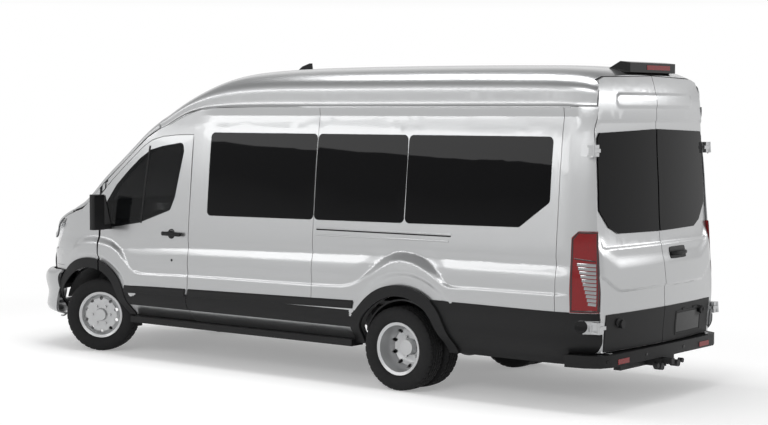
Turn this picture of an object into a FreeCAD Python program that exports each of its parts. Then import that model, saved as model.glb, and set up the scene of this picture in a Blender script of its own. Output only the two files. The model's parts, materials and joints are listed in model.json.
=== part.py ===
import FreeCAD, Part
import math
import os

V = FreeCAD.Vector
X_AXIS = V(1, 0, 0)
Y_AXIS = V(0, 1, 0)
Z_AXIS = V(0, 0, 1)
ORIGIN = V(0, 0, 0)

# Overall sizes of the vehicle: +X forward, +Y to its left, +Z up from the ground
LENGTH = 6703.0
HEIGHT = 2750.0
BODY_WIDTH = 2060.0
WHEELBASE = 3750.0
FRONT_OVERHANG = 1023.0
HALF = LENGTH / 2
HALF_WIDTH = BODY_WIDTH / 2
FRONT_AXLE_X = HALF - FRONT_OVERHANG
REAR_AXLE_X = FRONT_AXLE_X - WHEELBASE

# Sheet and wall sizes
WALL = 50.0
ROOF_WALL = 40.0
HOOD_WALL = 24.0
GLASS = 6.0
GLASS_SEAT = 0.3
DOOR_GAP = 6.0
SEAM = 4.0
OVERRUN = 60.0
RUNNING = 0.05
REST_GAP = 0.3

# Wheels and tyres
TYRE_RADIUS = 349.5
TYRE_WIDTH = 195.0
TYRE_BORE = 203.0
TREAD_WIDTH = 150.0
SHOULDER_DROP = 14.0
BULGE_RADIUS = 285.0
RIM_RADIUS = 220.0
RIM_WIDTH = 152.0
RIM_WALL = 8.0
BEAD_HALF = RIM_WIDTH / 2 - 2 * RIM_WALL
FRONT_TRACK = 1732.0
REAR_TRACK_OUTER = 1880.0
TWIN_PITCH = 228.0
STEER_REST = 25.0
KINGPIN_INSET = 66.0
LUG_CIRCLE = 90.0
LUG_COUNT = 6
LUG_RADIUS = 13.0
LUG_HEIGHT = 20.0
VENT_COUNT = 10
VENT_CIRCLE = 158.0
VENT_RADIUS = 17.0
HUB_RADIUS = 62.0
SPINDLE = 32.0
DISC_EDGE = 188.0
DISC_FLAT = 118.0
CAP_HIGH = 28.0
REAR_HUB_HIGH = 72.0
DISH_FRONT = 58.0
DISH_REAR = -(TWIN_PITCH / 2 - RIM_WALL)
# Shares of the dish: how far out the disc stands at its edge, its vents and inside its edge
FRONT_DISC_SHARES = [0.55, 0.95, 0.40]
REAR_DISC_SHARES = [0.34, 0.83, 0.42]

# Shares used in more than one place
CORNER_ROOM_SHARE = 0.48
STRAIGHT_TURN = 0.02
REAR_ZONE_SHARE = 0.9
FRONT_ZONE_SHARE = 0.9
CHAMFER_RISE_SHARE = 0.75
INNER_GLASS_SHARE = 0.93
REAR_HOLE_SHARE = 0.88
FULL_TURN = 360.0
FRONT_ZONE_X = HALF * FRONT_ZONE_SHARE
LITRE = 1e6

# Arches
FRONT_ARCH = 462.0
REAR_ARCH = 440.0
ARCH_Z = TYRE_RADIUS
REAR_ARCH_AFT = 25.0
FLARE_BAND = 92.0
FLARE_PROUD = 14.0
REAR_FLARE_PROUD = 33.0

# Heights along the side
SILL_Z = 385.0
STEP_BOTTOM_Z = 325.0
MOULD_LOW_Z = 492.0
MOULD_HIGH_Z = 640.0
GUTTER_Z = 2350.0
FLOOR_TOP = 735.0
FLOOR_THICK = 30.0

# Seams along the side
DOOR_FRONT_X = 2172.0
DOOR_REAR_X = 1000.0
SIDE_SEAM_X = -490.0
CORNER_SEAM_X = -2945.0
HEADER_X = 1450.0
COWL_X = 2590.0

# Shares of half the length and of the half width: how far the side draws in at each place
TUCK_SHARES = [
    (-0.9876, 0.1650), (-0.9697, 0.1117), (-0.9459, 0.0680), (-0.9160, 0.0350),
    (-0.8802, 0.0136), (-0.8205, 0.0029), (-0.6863, 0.0), (-0.3580, 0.0),
    (0.0, 0.0), (0.2984, 0.0), (0.5371, 0.0039), (0.6952, 0.0117),
    (0.7758, 0.0330), (0.8354, 0.0796), (0.8742, 0.1359), (0.9041, 0.2184)]
# Shares of the height and of the half width: the side's section
SECTION_SHARES = [
    (0.100, 0.950), (0.182, 0.985), (0.2545, 0.998), (0.327, 1.0),
    (0.364, 0.999), (0.400, 0.990), (0.4545, 0.981), (0.509, 0.969),
    (0.618, 0.945), (0.727, 0.9165), (0.800, 0.896), (0.870, 0.876)]
# Shares of half the length and of the height: the line where the side ends and the roof,
# the windscreen frame or the hood begins
SHOULDER_SHARES = [
    (-0.9520, 0.8545), (-0.9300, 0.8545), (-0.8800, 0.8545), (-0.7500, 0.8545),
    (-0.4500, 0.8545), (-0.1500, 0.8545), (0.1000, 0.8545), (0.2240, 0.8500),
    (0.3140, 0.8360), (0.3580, 0.8180), (0.3903, 0.7995), (0.4327, 0.7800),
    (0.4774, 0.7510), (0.5251, 0.7050), (0.5878, 0.6440), (0.6505, 0.5830),
    (0.6982, 0.5290), (0.7310, 0.5040), (0.7758, 0.4860)]
# Shares of half the length and of the height: the top line on the centre plane
CROWN_SHARES = [
    (-0.9520, 0.9440), (-0.9300, 0.9560), (-0.8800, 0.9680), (-0.7500, 0.9760),
    (-0.4500, 0.9800), (-0.1500, 0.9800), (0.1000, 0.9720), (0.2240, 0.9520),
    (0.3140, 0.9120), (0.3580, 0.8870), (0.3903, 0.8660), (0.4327, 0.8360),
    (0.4774, 0.8010), (0.5251, 0.7600), (0.5878, 0.7010), (0.6505, 0.6390),
    (0.6982, 0.5880), (0.7310, 0.5520), (0.7758, 0.5110)]
HOOD_BASE_SHARES = [
    (0.7310, 0.5000), (0.7758, 0.4840), (0.8056, 0.4720), (0.8354, 0.4560),
    (0.8653, 0.4350), (0.8951, 0.4050), (0.9130, 0.3800)]
HOOD_CROWN_SHARES = [
    (0.7310, 0.5290), (0.7758, 0.5110), (0.8056, 0.5000), (0.8354, 0.4880),
    (0.8653, 0.4740), (0.8951, 0.4560), (0.9130, 0.4420)]
ROOF_POWER = 4.0
SCREEN_POWER = 2.6
HOOD_POWER = 3.2
ARCH_STEPS = 16
REAR_STEPS = 9
SQUARE_FRONT_SHARE = 0.3

# Shares of half the height and length: the rear face on the centre plane and its bow
REAR_FACE_SHARES = [
    (0.150, 0.9840), (0.200, 0.9900), (0.270, 0.9955), (0.330, 0.9960), (0.400, 0.9900),
    (0.440, 0.9870), (0.500, 0.9810), (0.620, 0.9760), (0.720, 0.9710),
    (0.820, 0.9690), (0.900, 0.9640), (0.955, 0.9500)]
REAR_BOW_SHARE = 0.0205
# Shares of the half width and of the height: half of the rear opening
REAR_OPENING_SHARES = [
    (0.0, 0.1660), (0.8540, 0.1660), (0.8690, 0.2700), (0.8710, 0.3800),
    (0.8505, 0.5960), (0.8210, 0.7890), (0.7800, 0.8900), (0.7480, 0.9280),
    (0.6700, 0.9370), (0.0, 0.9430)]
REAR_GLASS_SHARES = [
    (0.0, 0.4930), (0.5900, 0.4960), (0.7000, 0.5150), (0.8150, 0.5650),
    (0.8050, 0.7650), (0.7800, 0.7800), (0.0, 0.7890)]

# Shares of half the length and of the height: outlines on the side
DOOR_TOP_SHARES = [
    (0.6560, 0.5460), (0.6030, 0.6070), (0.5400, 0.6700), (0.4884, 0.7190),
    (0.4580, 0.7400), (0.4177, 0.7520), (0.3631, 0.7580), (0.3000, 0.7600)]
DOOR_GLASS_SHARES = [
    (0.3348, 0.7280), (0.3300, 0.7070), (0.3554, 0.5530), (0.3720, 0.5080),
    (0.4914, 0.4600), (0.6000, 0.4400), (0.6300, 0.4480), (0.6330, 0.5180),
    (0.5900, 0.5870), (0.5412, 0.6400), (0.4998, 0.6800), (0.4589, 0.7090),
    (0.4138, 0.7220), (0.3446, 0.7340)]
BAND_TOP_SHARE = 0.7690
BAND_LOW_FRONT_SHARE = 0.4970
BAND_LOW_REAR_SHARE = 0.5110
BAND_FRONT_X = 775.0
BAND_REAR_X = -2870.0
BAND_CHAMFER = 270.0
BAND_SPLIT_X = -1470.0
BAND_CORNER = 45.0
PANE_BORDER = 60.0


def shares_at(table, x_unit, z_unit):
    return [(x * x_unit, z * z_unit) for x, z in table]


def smooth(table, t):
    """Cubic reading of a table of (place, value) pairs in rising order."""
    last = len(table) - 1
    if t <= table[0][0]:
        return table[0][1]
    if t >= table[last][0]:
        return table[last][1]
    i = 0
    while table[i + 1][0] < t:
        i += 1

    def slope(k):
        low = max(k - 1, 0)
        high = min(k + 1, last)
        return (table[high][1] - table[low][1]) / (table[high][0] - table[low][0])

    step = table[i + 1][0] - table[i][0]
    f = (t - table[i][0]) / step
    rise = 3 * f ** 2 - 2 * f ** 3
    lead = (f ** 3 - 2 * f ** 2 + f) * step * slope(i)
    trail = (f ** 3 - f ** 2) * step * slope(i + 1)
    return table[i][1] * (1 - rise) + table[i + 1][1] * rise + lead + trail


def side_y(x, z):
    """Half width of the outer side at a place along it and a height."""
    section = smooth(SECTION_SHARES, z / HEIGHT)
    tuck = smooth(TUCK_SHARES, x / HALF)
    return (section - tuck) * HALF_WIDTH


def rear_x(y, z):
    """Place of the rear face at a half width and a height."""
    centre = smooth(REAR_FACE_SHARES, z / HEIGHT)
    return (REAR_BOW_SHARE * (y / HALF_WIDTH) ** 2 - centre) * HALF


def surface(grid):
    skin = Part.BSplineSurface()
    skin.interpolate(grid)
    return skin


def slab(outer, inner):
    """Closed solid between two grids of points, with straight sides."""
    skins = [surface(outer), surface(inner)]
    faces = [skin.toShape() for skin in skins]
    rims = []
    for skin in skins:
        u0, u1, v0, v1 = skin.bounds()
        rims.append([skin.uIso(u0), skin.uIso(u1), skin.vIso(v0), skin.vIso(v1)])
    for one, two in zip(rims[0], rims[1]):
        faces.append(Part.makeRuledSurface(one.toShape(), two.toShape()))
    shell = Part.makeShell(faces)
    shell.sewShape()
    solid = Part.makeSolid(shell)
    if solid.Volume < 0:
        solid.reverse()
    return solid


def mirrored(shape):
    return shape.mirror(ORIGIN, Y_AXIS)


def both(shape):
    return Part.makeCompound([shape, mirrored(shape)])


def box(x0, x1, y0, y1, z0, z1):
    return Part.makeBox(abs(x1 - x0), abs(y1 - y0), abs(z1 - z0),
                        V(min(x0, x1), min(y0, y1), min(z0, z1)))


def outline(points, corner=0.0):
    """Closed wire through 3-D points of one plane, its corners rounded by a radius."""
    count = len(points)
    edges = []
    ends = []
    for i in range(count):
        here = points[i]
        back = points[i - 1]
        on = points[(i + 1) % count]
        to_back = (back - here).normalize()
        to_on = (on - here).normalize()
        half_turn = to_back.getAngle(to_on) / 2
        if corner <= 0 or half_turn > math.pi / 2 - STRAIGHT_TURN:
            ends.append((here, here, None))
            continue
        room = min((back - here).Length, (on - here).Length) * CORNER_ROOM_SHARE
        run = min(corner / math.tan(half_turn), room)
        radius = run * math.tan(half_turn)
        middle = (to_back + to_on).normalize()
        centre = here + middle * (radius / math.sin(half_turn))
        ends.append((here + to_back * run, here + to_on * run, centre - middle * radius))
    for i in range(count):
        first, last, bend = ends[i]
        if bend is not None:
            edges.append(Part.Arc(first, bend, last).toShape())
        nxt = ends[(i + 1) % count][0]
        if (nxt - last).Length > REST_GAP:
            edges.append(Part.LineSegment(last, nxt).toShape())
    return Part.Wire(edges)


def scaled(points, share):
    """Outline drawn in or out about the mean of its points."""
    x_mid = sum(x for x, _ in points) / len(points)
    z_mid = sum(z for _, z in points) / len(points)
    return [(x_mid + (x - x_mid) * share, z_mid + (z - z_mid) * share) for x, z in points]


def side_prism(points, corner=0.0, near=0.0, far=None):
    """Prism across the left half from an outline of (x, z) points."""
    reach = far if far is not None else HALF_WIDTH + OVERRUN
    wire = outline([V(x, near, z) for x, z in points], corner)
    return Part.Face(wire).extrude(V(0, reach - near, 0))


def back_prism(points, corner=0.0, near=None, far=None):
    """Prism along X from an outline of (y, z) points."""
    start = near if near is not None else -HALF - OVERRUN
    stop = far if far is not None else -HALF * REAR_ZONE_SHARE
    wire = outline([V(start, y, z) for y, z in points], corner)
    return Part.Face(wire).extrude(V(stop - start, 0, 0))


def plan_prism(points, low, high, corner=0.0):
    wire = outline([V(x, y, low) for x, y in points], corner)
    return Part.Face(wire).extrude(V(0, 0, high - low))


def disc(x, z, radius, near=0.0, far=None):
    reach = far if far is not None else HALF_WIDTH + 2 * OVERRUN
    return Part.makeCylinder(radius, reach - near, V(x, near, z), Y_AXIS)


def rod(start, end, radius):
    return Part.makeCylinder(radius, (end - start).Length, start, end - start)


def turned(points, place, axis=Y_AXIS):
    """Ring or disc from (radius, along) points, turned about an axis through a place."""
    wire = Part.makePolygon([V(r, a, 0) for r, a in points] + [V(points[0][0], points[0][1], 0)])
    solid = Part.Face(wire).revolve(ORIGIN, Y_AXIS, FULL_TURN)
    turn = FreeCAD.Rotation(Y_AXIS, axis)
    solid.Placement = FreeCAD.Placement(place, turn)
    return solid


def spread(start, end, count):
    return [start + (end - start) * i / (count - 1) for i in range(count)]


def side_grid(inset):
    places = [x * HALF for x, _ in TUCK_SHARES]
    heights = [z * HEIGHT for z, _ in SECTION_SHARES]
    return [[V(x, side_y(x, z) - inset, z) for z in heights] for x in places]


def arch_grid(base, crown, power, inset, first, last):
    """Grid of arches across the vehicle between two places along it."""
    rows = []
    places = [x * HALF for x, _ in base if first < x * HALF < last]
    for x in [first] + places + [last]:
        low = smooth(base, x / HALF) * HEIGHT
        top = smooth(crown, x / HALF) * HEIGHT - inset
        half = side_y(x, low) - inset
        bend = power if isinstance(power, float) else power(x)
        row = []
        for i in range(ARCH_STEPS + 1):
            turn = math.pi * i / ARCH_STEPS
            c = math.cos(turn)
            s = math.sin(turn)
            y = math.copysign(abs(c) ** (2 / bend), c) * half
            row.append(V(x, y, low + abs(s) ** (2 / bend) * (top - low)))
        rows.append(row)
    return rows


def arch_slab(base, crown, power, proud, thick, first, last):
    outer = arch_grid(base, crown, power, -proud, first, last)
    inner = arch_grid(base, crown, power, thick, first, last)
    return slab(outer, inner)


def upper_power(x):
    """The section is squarer along the roof than across the windscreen."""
    front = min(max((x - HEADER_X * SQUARE_FRONT_SHARE) / HEADER_X, 0.0), 1.0)
    return ROOF_POWER + (SCREEN_POWER - ROOF_POWER) * front


def rear_grid(inset, reach):
    heights = [z * HEIGHT for z, _ in REAR_FACE_SHARES]
    widths = spread(-reach, reach, REAR_STEPS)
    return [[V(rear_x(y, z) + inset, y, z) for z in heights] for y in widths]


SIDE_SLAB = slab(side_grid(0.0), side_grid(WALL))
SIDE_SKIN = slab(side_grid(-OVERRUN), side_grid(GLASS + GLASS_SEAT))
SIDE_PANE = slab(side_grid(0.0), side_grid(GLASS))
REAR_SLAB = slab(rear_grid(0.0, HALF_WIDTH), rear_grid(WALL, HALF_WIDTH))
REAR_SKIN = slab(rear_grid(-OVERRUN, HALF_WIDTH), rear_grid(GLASS + GLASS_SEAT, HALF_WIDTH))
REAR_PANE = slab(rear_grid(0.0, HALF_WIDTH), rear_grid(GLASS, HALF_WIDTH))

SHOULDER = shares_at(SHOULDER_SHARES, HALF, HEIGHT)
HOOD_BASE = shares_at(HOOD_BASE_SHARES, HALF, HEIGHT)
DOOR_TOP = shares_at(DOOR_TOP_SHARES, HALF, HEIGHT)

FRONT_DISC = disc(FRONT_AXLE_X, ARCH_Z, FRONT_ARCH)
REAR_ARCH_X = REAR_AXLE_X - REAR_ARCH_AFT
REAR_DISC = disc(REAR_ARCH_X, ARCH_Z, REAR_ARCH)

# Front door hinge line, inboard of the skin so that the leading edge turns in behind the wing
DOOR_AXIS_BACK = 50.0
DOOR_AXIS_IN = 65.0
DOOR_AXIS_X = DOOR_FRONT_X - DOOR_AXIS_BACK
DOOR_AXIS_Y = HALF_WIDTH - DOOR_AXIS_IN
DOOR_NOSE = math.hypot(DOOR_AXIS_BACK, DOOR_AXIS_IN) + DOOR_GAP
FLARE_NOSE = math.hypot(DOOR_AXIS_BACK, DOOR_AXIS_IN + FLARE_PROUD) + DOOR_GAP
FLARE_NOSE_LOW = 770.0
FLARE_NOSE_HIGH = 905.0
HINGE_Z = [790.0, 1120.0]
HINGE_HALF = 30.0
HINGE_ARM = 9.0
HINGE_PLAY = 0.5
ARM_ROOT_SHARE = 0.7
PIN_RADIUS = 7.0
PIN_HEAD = 16.0
DOOR_BACK_Y = 930.0
DOOR_BACK_TURN = 5.0
PILLAR_X = 2195.0
PILLAR_DEEP = 95.0
PILLAR_Y = 898.0
PILLAR_WIDE = 90.0
PILLAR_HIGH = 1360.0

# Rear door hinge line, outside the corner as the exposed hinges show
REAR_HINGE_Z = [660.0, 2010.0]
REAR_HINGE_HALF = 45.0
REAR_AXIS_OUT = 66.0
REAR_AXIS_BACK = 28.0
BARREL = 13.0
LEAF = 8.0
LEAF_REACH = 88.0
LEAF_PLAY = 1.0
BRIDGE_REACH_SHARE = 0.9
STRAP_REACH_SHARE = 2.0


def nose_room():
    """Room that the front door's leading edge sweeps as it turns in behind the wing."""
    place = V(DOOR_AXIS_X, DOOR_AXIS_Y, 0)
    room = Part.makeCylinder(DOOR_NOSE, HEIGHT, place)
    place = V(DOOR_AXIS_X, DOOR_AXIS_Y, FLARE_NOSE_LOW)
    return room.fuse(Part.makeCylinder(FLARE_NOSE, FLARE_NOSE_HIGH - FLARE_NOSE_LOW, place))


def rear_edge_y(z):
    """Outer edge of the rear opening at a height."""
    rising = [(height, wide) for wide, height in REAR_OPENING_SHARES[1:-2]]
    return smooth(rising, z / HEIGHT) * HALF_WIDTH


def rear_axis_point(z):
    low, high = REAR_HINGE_Z
    ends = []
    for level in (low, high):
        y = rear_edge_y(level)
        ends.append(V(rear_x(y, level) - REAR_AXIS_BACK, y + REAR_AXIS_OUT, level))
    return ends[0] + (ends[1] - ends[0]) * ((z - low) / (high - low))


REAR_AXIS_LOW = rear_axis_point(REAR_HINGE_Z[0])
REAR_AXIS_DIR = (rear_axis_point(REAR_HINGE_Z[1]) - REAR_AXIS_LOW).normalize()


def wall_outline(front, rear, low, drop):
    """Outline of a stretch of side wall, its top a little under the shoulder line."""
    top = [(x, z - drop) for x, z in SHOULDER if rear < x < front]
    ends = [(rear, smooth(SHOULDER_SHARES, rear / HALF) * HEIGHT - drop),
            (front, smooth(SHOULDER_SHARES, front / HALF) * HEIGHT - drop)]
    return [(front, low), (rear, low), ends[0]] + top + [ends[1]]


def band_outline(front, rear, grow):
    """Outline of the flush window band between two places."""
    def low_z(x):
        share = (BAND_FRONT_X - x) / (BAND_FRONT_X - BAND_REAR_X)
        low = BAND_LOW_FRONT_SHARE + (BAND_LOW_REAR_SHARE - BAND_LOW_FRONT_SHARE) * share
        return low * HEIGHT

    top = BAND_TOP_SHARE * HEIGHT + grow
    points = [(front + grow, top), (front + grow, low_z(front) - grow)]
    if rear <= BAND_REAR_X:
        points.append((rear + BAND_CHAMFER, low_z(rear) - grow))
        points.append((rear - grow, low_z(rear) + BAND_CHAMFER * CHAMFER_RISE_SHARE - grow))
    else:
        points.append((rear - grow, low_z(rear) - grow))
    points.append((rear - grow, top))
    return points


PANES = [(BAND_FRONT_X, SIDE_SEAM_X + SEAM), (SIDE_SEAM_X - SEAM, BAND_SPLIT_X + SEAM),
         (BAND_SPLIT_X - SEAM, BAND_REAR_X)]


def windowed(panel, panes):
    """Panel with a seat for each flush pane and a hole behind it."""
    for front, rear in panes:
        seat = side_prism(band_outline(front, rear, GLASS_SEAT), BAND_CORNER)
        panel = panel.cut(SIDE_SKIN.common(seat))
        hole = side_prism(band_outline(front, rear, -PANE_BORDER), BAND_CORNER)
        panel = panel.cut(hole)
    return panel


def side_panel():
    shape = wall_outline(DOOR_REAR_X - DOOR_GAP, SIDE_SEAM_X + SEAM / 2, SILL_Z, SEAM)
    panel = SIDE_SLAB.common(side_prism(shape))
    return windowed(panel, PANES[:1])


def quarter_panel():
    shape = wall_outline(SIDE_SEAM_X - SEAM / 2, CORNER_SEAM_X + SEAM / 2, SILL_Z, SEAM)
    panel = SIDE_SLAB.common(side_prism(shape)).cut(REAR_DISC)
    return windowed(panel, PANES[1:])


def corner_pillar():
    shape = wall_outline(CORNER_SEAM_X - SEAM / 2, -HALF, SILL_Z, SEAM)
    panel = SIDE_SLAB.common(side_prism(shape))
    panel = panel.cut(rear_opening(DOOR_GAP / 2))
    panel = panel.cut(lamp_pocket(GLASS_SEAT)).cut(bumper_room())
    for level in REAR_HINGE_Z:
        panel = panel.fuse(fixed_leaf(level)).cut([leaf_pocket(level), rear_opening(DOOR_GAP / 2)])
    return panel


def bumper_room():
    """Room for the rear bumper's corners under the body."""
    return box(-HALF - OVERRUN, BUMPER_FRONT_X + SEAM, 0, HALF_WIDTH + OVERRUN, 0, BUMPER_STEP_TOP + SEAM)


def rear_opening(grow):
    """Prism through the whole rear opening, a little larger or smaller than its edge."""
    half = [(y * HALF_WIDTH, z * HEIGHT) for y, z in REAR_OPENING_SHARES]
    points = [(half[0][0], half[0][1] - grow)]
    for y, z in half[1:-1]:
        sign = -1 if z < half[2][1] else 0
        if z > half[-4][1]:
            sign = 1
        points.append((y + grow, z + sign * grow))
    points.append((half[-1][0], half[-1][1] + grow))
    left = back_prism(points)
    return left.fuse(mirrored(left)).removeSplitter()


def leaf_pocket(level):
    """Room round the moving leaf and its barrel where they pass the corner, shut or swung open."""
    centre = rear_axis_point(level)
    low = centre - REAR_AXIS_DIR * (REAR_HINGE_HALF / 3 + LEAF_PLAY)
    high = centre + REAR_AXIS_DIR * (REAR_HINGE_HALF / 3 + LEAF_PLAY)
    room = rod(low, high, BARREL + DOOR_GAP)
    slot = box(centre.x - BARREL - DOOR_GAP, centre.x + BARREL + DOOR_GAP, centre.y - 2 * REAR_AXIS_OUT,
               centre.y, low.z, high.z)
    reach = LEAF_REACH + DOOR_GAP
    under = low - REAR_AXIS_DIR * (2 * DOOR_GAP)
    over = high + REAR_AXIS_DIR * (2 * DOOR_GAP)
    open_side = box(centre.x - reach, centre.x + reach, centre.y - BARREL, centre.y + reach, under.z, over.z)
    swing = rod(under, over, reach).common(open_side).cut(rod(under, over, BARREL))
    pin = rod(low, high, PIN_RADIUS)
    return room.fuse([slot, swing]).cut(pin)


def fixed_leaf(level):
    """Body half of an exposed hinge: a strap on the corner, two knuckles and the pin."""
    centre = rear_axis_point(level)
    low = centre - REAR_AXIS_DIR * REAR_HINGE_HALF
    high = centre + REAR_AXIS_DIR * REAR_HINGE_HALF
    barrel = rod(low, high, BARREL)
    reach = STRAP_REACH_SHARE * REAR_AXIS_OUT
    strap = box(centre.x, centre.x + reach, centre.y - REAR_AXIS_OUT, centre.y + reach / 2,
                level - REAR_HINGE_HALF, level + REAR_HINGE_HALF)
    skin = slab(side_grid(-LEAF), side_grid(0.0))
    bridge = box(centre.x - LEAF / 2, centre.x + REAR_AXIS_OUT * BRIDGE_REACH_SHARE,
                 centre.y - REAR_AXIS_OUT, centre.y + LEAF, level - REAR_HINGE_HALF, level + REAR_HINGE_HALF)
    return skin.common(strap).fuse([barrel, bridge])


def moving_leaf(level):
    """Door half of an exposed hinge: the middle knuckle and a strap on the door's face."""
    centre = rear_axis_point(level)
    low = centre - REAR_AXIS_DIR * (REAR_HINGE_HALF / 3)
    high = centre + REAR_AXIS_DIR * (REAR_HINGE_HALF / 3)
    barrel = rod(low, high, BARREL)
    third = REAR_HINGE_HALF / 3
    strap = box(centre.x - BARREL, centre.x + BARREL, centre.y - LEAF_REACH, centre.y,
                level - third + LEAF_PLAY, level + third - LEAF_PLAY)
    foot = box(centre.x - BARREL, centre.x + REAR_AXIS_BACK + LEAF, centre.y - LEAF_REACH,
               centre.y - REAR_AXIS_OUT - DOOR_GAP, level - third + LEAF_PLAY, level + third - LEAF_PLAY)
    bore = rod(low - REAR_AXIS_DIR * OVERRUN, high + REAR_AXIS_DIR * OVERRUN, PIN_RADIUS + RUNNING)
    return barrel.fuse([strap, foot]), bore


BUMPER_STEP_TOP = 446.0
BUMPER_STEP_LOW = 350.0
BUMPER_STEP_DEEP = 150.0
BUMPER_FRONT_X = -HALF * 0.905

LAMP_LOW_Z = 770.0
LAMP_HIGH_Z = 1395.0
LAMP_FRONT_X = -3068.0
LAMP_CHAMFER = 50.0
LAMP_DEEP = 30.0


def lamp_outline(grow):
    low = LAMP_LOW_Z - grow
    high = LAMP_HIGH_Z + grow
    front = LAMP_FRONT_X + grow
    rear = -HALF
    return [(front, low), (front, high - LAMP_CHAMFER), (front - LAMP_CHAMFER, high), (rear, high),
            (rear, low)]


def lamp_pocket(grow):
    skin = slab(side_grid(-OVERRUN), side_grid(LAMP_DEEP + grow))
    return skin.common(side_prism(lamp_outline(grow)))


def tail_lamp():
    skin = slab(side_grid(-GLASS), side_grid(LAMP_DEEP))
    lamp = skin.common(side_prism(lamp_outline(0.0)))
    return lamp.cut(rear_opening(DOOR_GAP / 2))


def fender():
    """Front wing: from the front door to the lamp and bumper, open over the wheel."""
    top = [(x, z - DOOR_GAP - SEAM / 2) for x, z in HOOD_BASE if x < FRONT_ZONE_X]
    front_x = DOOR_FRONT_X + DOOR_GAP
    shoulder = [(x, z - SEAM) for x, z in SHOULDER if front_x < x < top[0][0]]
    points = [(front_x, SILL_Z), (front_x, smooth(SHOULDER_SHARES, front_x / HALF) * HEIGHT - SEAM)]
    points += shoulder + top
    points += [(FRONT_ZONE_X, BUMPER_TOP + SEAM), (FRONT_AXLE_X, BUMPER_TOP + SEAM),
               (FRONT_AXLE_X, SILL_Z)]
    panel = SIDE_SLAB.common(side_prism(points)).cut(FRONT_DISC)
    panel = panel.cut(headlamp_room(GLASS_SEAT))
    return panel.cut(nose_room())


BUMPER_TOP = 758.0
LAMP_REAR_X = 2700.0
LAMP_TOP_REAR_SHARE = 0.458
LAMP_TOP_FRONT_SHARE = 0.47
LAMP_FOOT_SHARE = 0.346
LAMP_FOOT_X = HALF * 0.862


def headlamp_room(grow):
    """Swept headlamp space at the front corner, between hood, wing and bumper."""
    foot = HEIGHT * LAMP_FOOT_SHARE - grow
    points = [(LAMP_REAR_X - grow, HEIGHT * LAMP_TOP_REAR_SHARE + grow), (LAMP_FOOT_X, foot),
              (HALF + OVERRUN, foot), (HALF + OVERRUN, HEIGHT * LAMP_TOP_FRONT_SHARE)]
    return side_prism(points)


def front_door():
    low = SILL_Z + DOOR_GAP
    points = [(DOOR_REAR_X, low), (DOOR_FRONT_X, low)] + DOOR_TOP
    points[-1] = (DOOR_REAR_X, points[-1][1])
    points.insert(2, (DOOR_FRONT_X, DOOR_TOP[0][1] - OVERRUN / 2))
    panel = SIDE_SLAB.common(side_prism(points))
    panel = panel.cut(disc(FRONT_AXLE_X, ARCH_Z, FRONT_ARCH + DOOR_GAP))
    glass = shares_at(DOOR_GLASS_SHARES, HALF, HEIGHT)
    seat = side_prism(glass, BAND_CORNER)
    panel = panel.cut(SIDE_SKIN.common(seat))
    panel = panel.cut(side_prism(scaled(glass, INNER_GLASS_SHARE), BAND_CORNER))
    wedge = box(DOOR_REAR_X - WALL, DOOR_REAR_X, 0, 2 * HALF_WIDTH, 0, HEIGHT)
    wedge.rotate(V(DOOR_REAR_X, DOOR_BACK_Y, 0), Z_AXIS, DOOR_BACK_TURN)
    panel = panel.cut(wedge)
    for level in HINGE_Z:
        knuckle, notch = door_knuckle(level)
        panel = panel.cut(notch).fuse(knuckle[0]).cut(knuckle[1])
    return panel.removeSplitter()


ARM_SWING_SHARES = [(-1.0, -1.0), (3.3, -1.25), (3.3, 2.3), (0.0, 1.3), (-1.0, 1.0)]


def door_knuckle(level):
    """Hinge block on the door, its bore, and the room for the fixed arms."""
    back = DOOR_AXIS_X - PIN_HEAD
    front = DOOR_AXIS_X + PIN_HEAD
    block = box(back, front, DOOR_AXIS_Y - PIN_HEAD, side_y(DOOR_AXIS_X, level) - WALL / 2,
                level - HINGE_HALF, level + HINGE_HALF)
    bore = Part.makeCylinder(PIN_RADIUS + RUNNING, HEIGHT, V(DOOR_AXIS_X, DOOR_AXIS_Y, 0))
    bore = bore.common(box(back, front, 0, HALF_WIDTH, level - HINGE_HALF - OVERRUN,
                           level + HINGE_HALF + OVERRUN))
    room = HINGE_ARM + DOOR_GAP
    swing = [(DOOR_AXIS_X + x * PIN_HEAD, DOOR_AXIS_Y + y * PIN_HEAD) for x, y in ARM_SWING_SHARES]
    notch = None
    for sign in (-1, 1):
        low = level + sign * (HINGE_HALF + room / 2) - room / 2
        around = Part.makeCylinder(PIN_HEAD + DOOR_GAP, room, V(DOOR_AXIS_X, DOOR_AXIS_Y, low))
        part = around.fuse(plan_prism(swing, low, low + room))
        notch = part if notch is None else notch.fuse(part)
    return (block, bore), notch


def door_hinges():
    """Fixed halves of the front door's hinges: pins held by arms on the hinge pillar."""
    pieces = []
    for level in HINGE_Z:
        reach = HINGE_HALF + HINGE_PLAY + HINGE_ARM
        pin = Part.makeCylinder(PIN_RADIUS, 2 * reach, V(DOOR_AXIS_X, DOOR_AXIS_Y, level - reach))
        hinge = pin
        for low in (level - reach, level + reach - HINGE_ARM):
            eye = Part.makeCylinder(PIN_HEAD, HINGE_ARM, V(DOOR_AXIS_X, DOOR_AXIS_Y, low))
            root = PIN_HEAD * ARM_ROOT_SHARE
            arm = plan_prism([(DOOR_AXIS_X - root, DOOR_AXIS_Y - root),
                              (DOOR_AXIS_X + root, DOOR_AXIS_Y - root),
                              (PILLAR_X, PILLAR_Y - PIN_HEAD), (PILLAR_X, PILLAR_Y - 3 * PIN_HEAD)],
                             low, low + HINGE_ARM)
            hinge = hinge.fuse([eye, arm])
        pieces.append(hinge)
    return pieces


def door_glass():
    glass = shares_at(DOOR_GLASS_SHARES, HALF, HEIGHT)
    return SIDE_PANE.common(side_prism(scaled(glass, 1 - 2 * GLASS_SEAT / HALF_WIDTH), BAND_CORNER))


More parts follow.
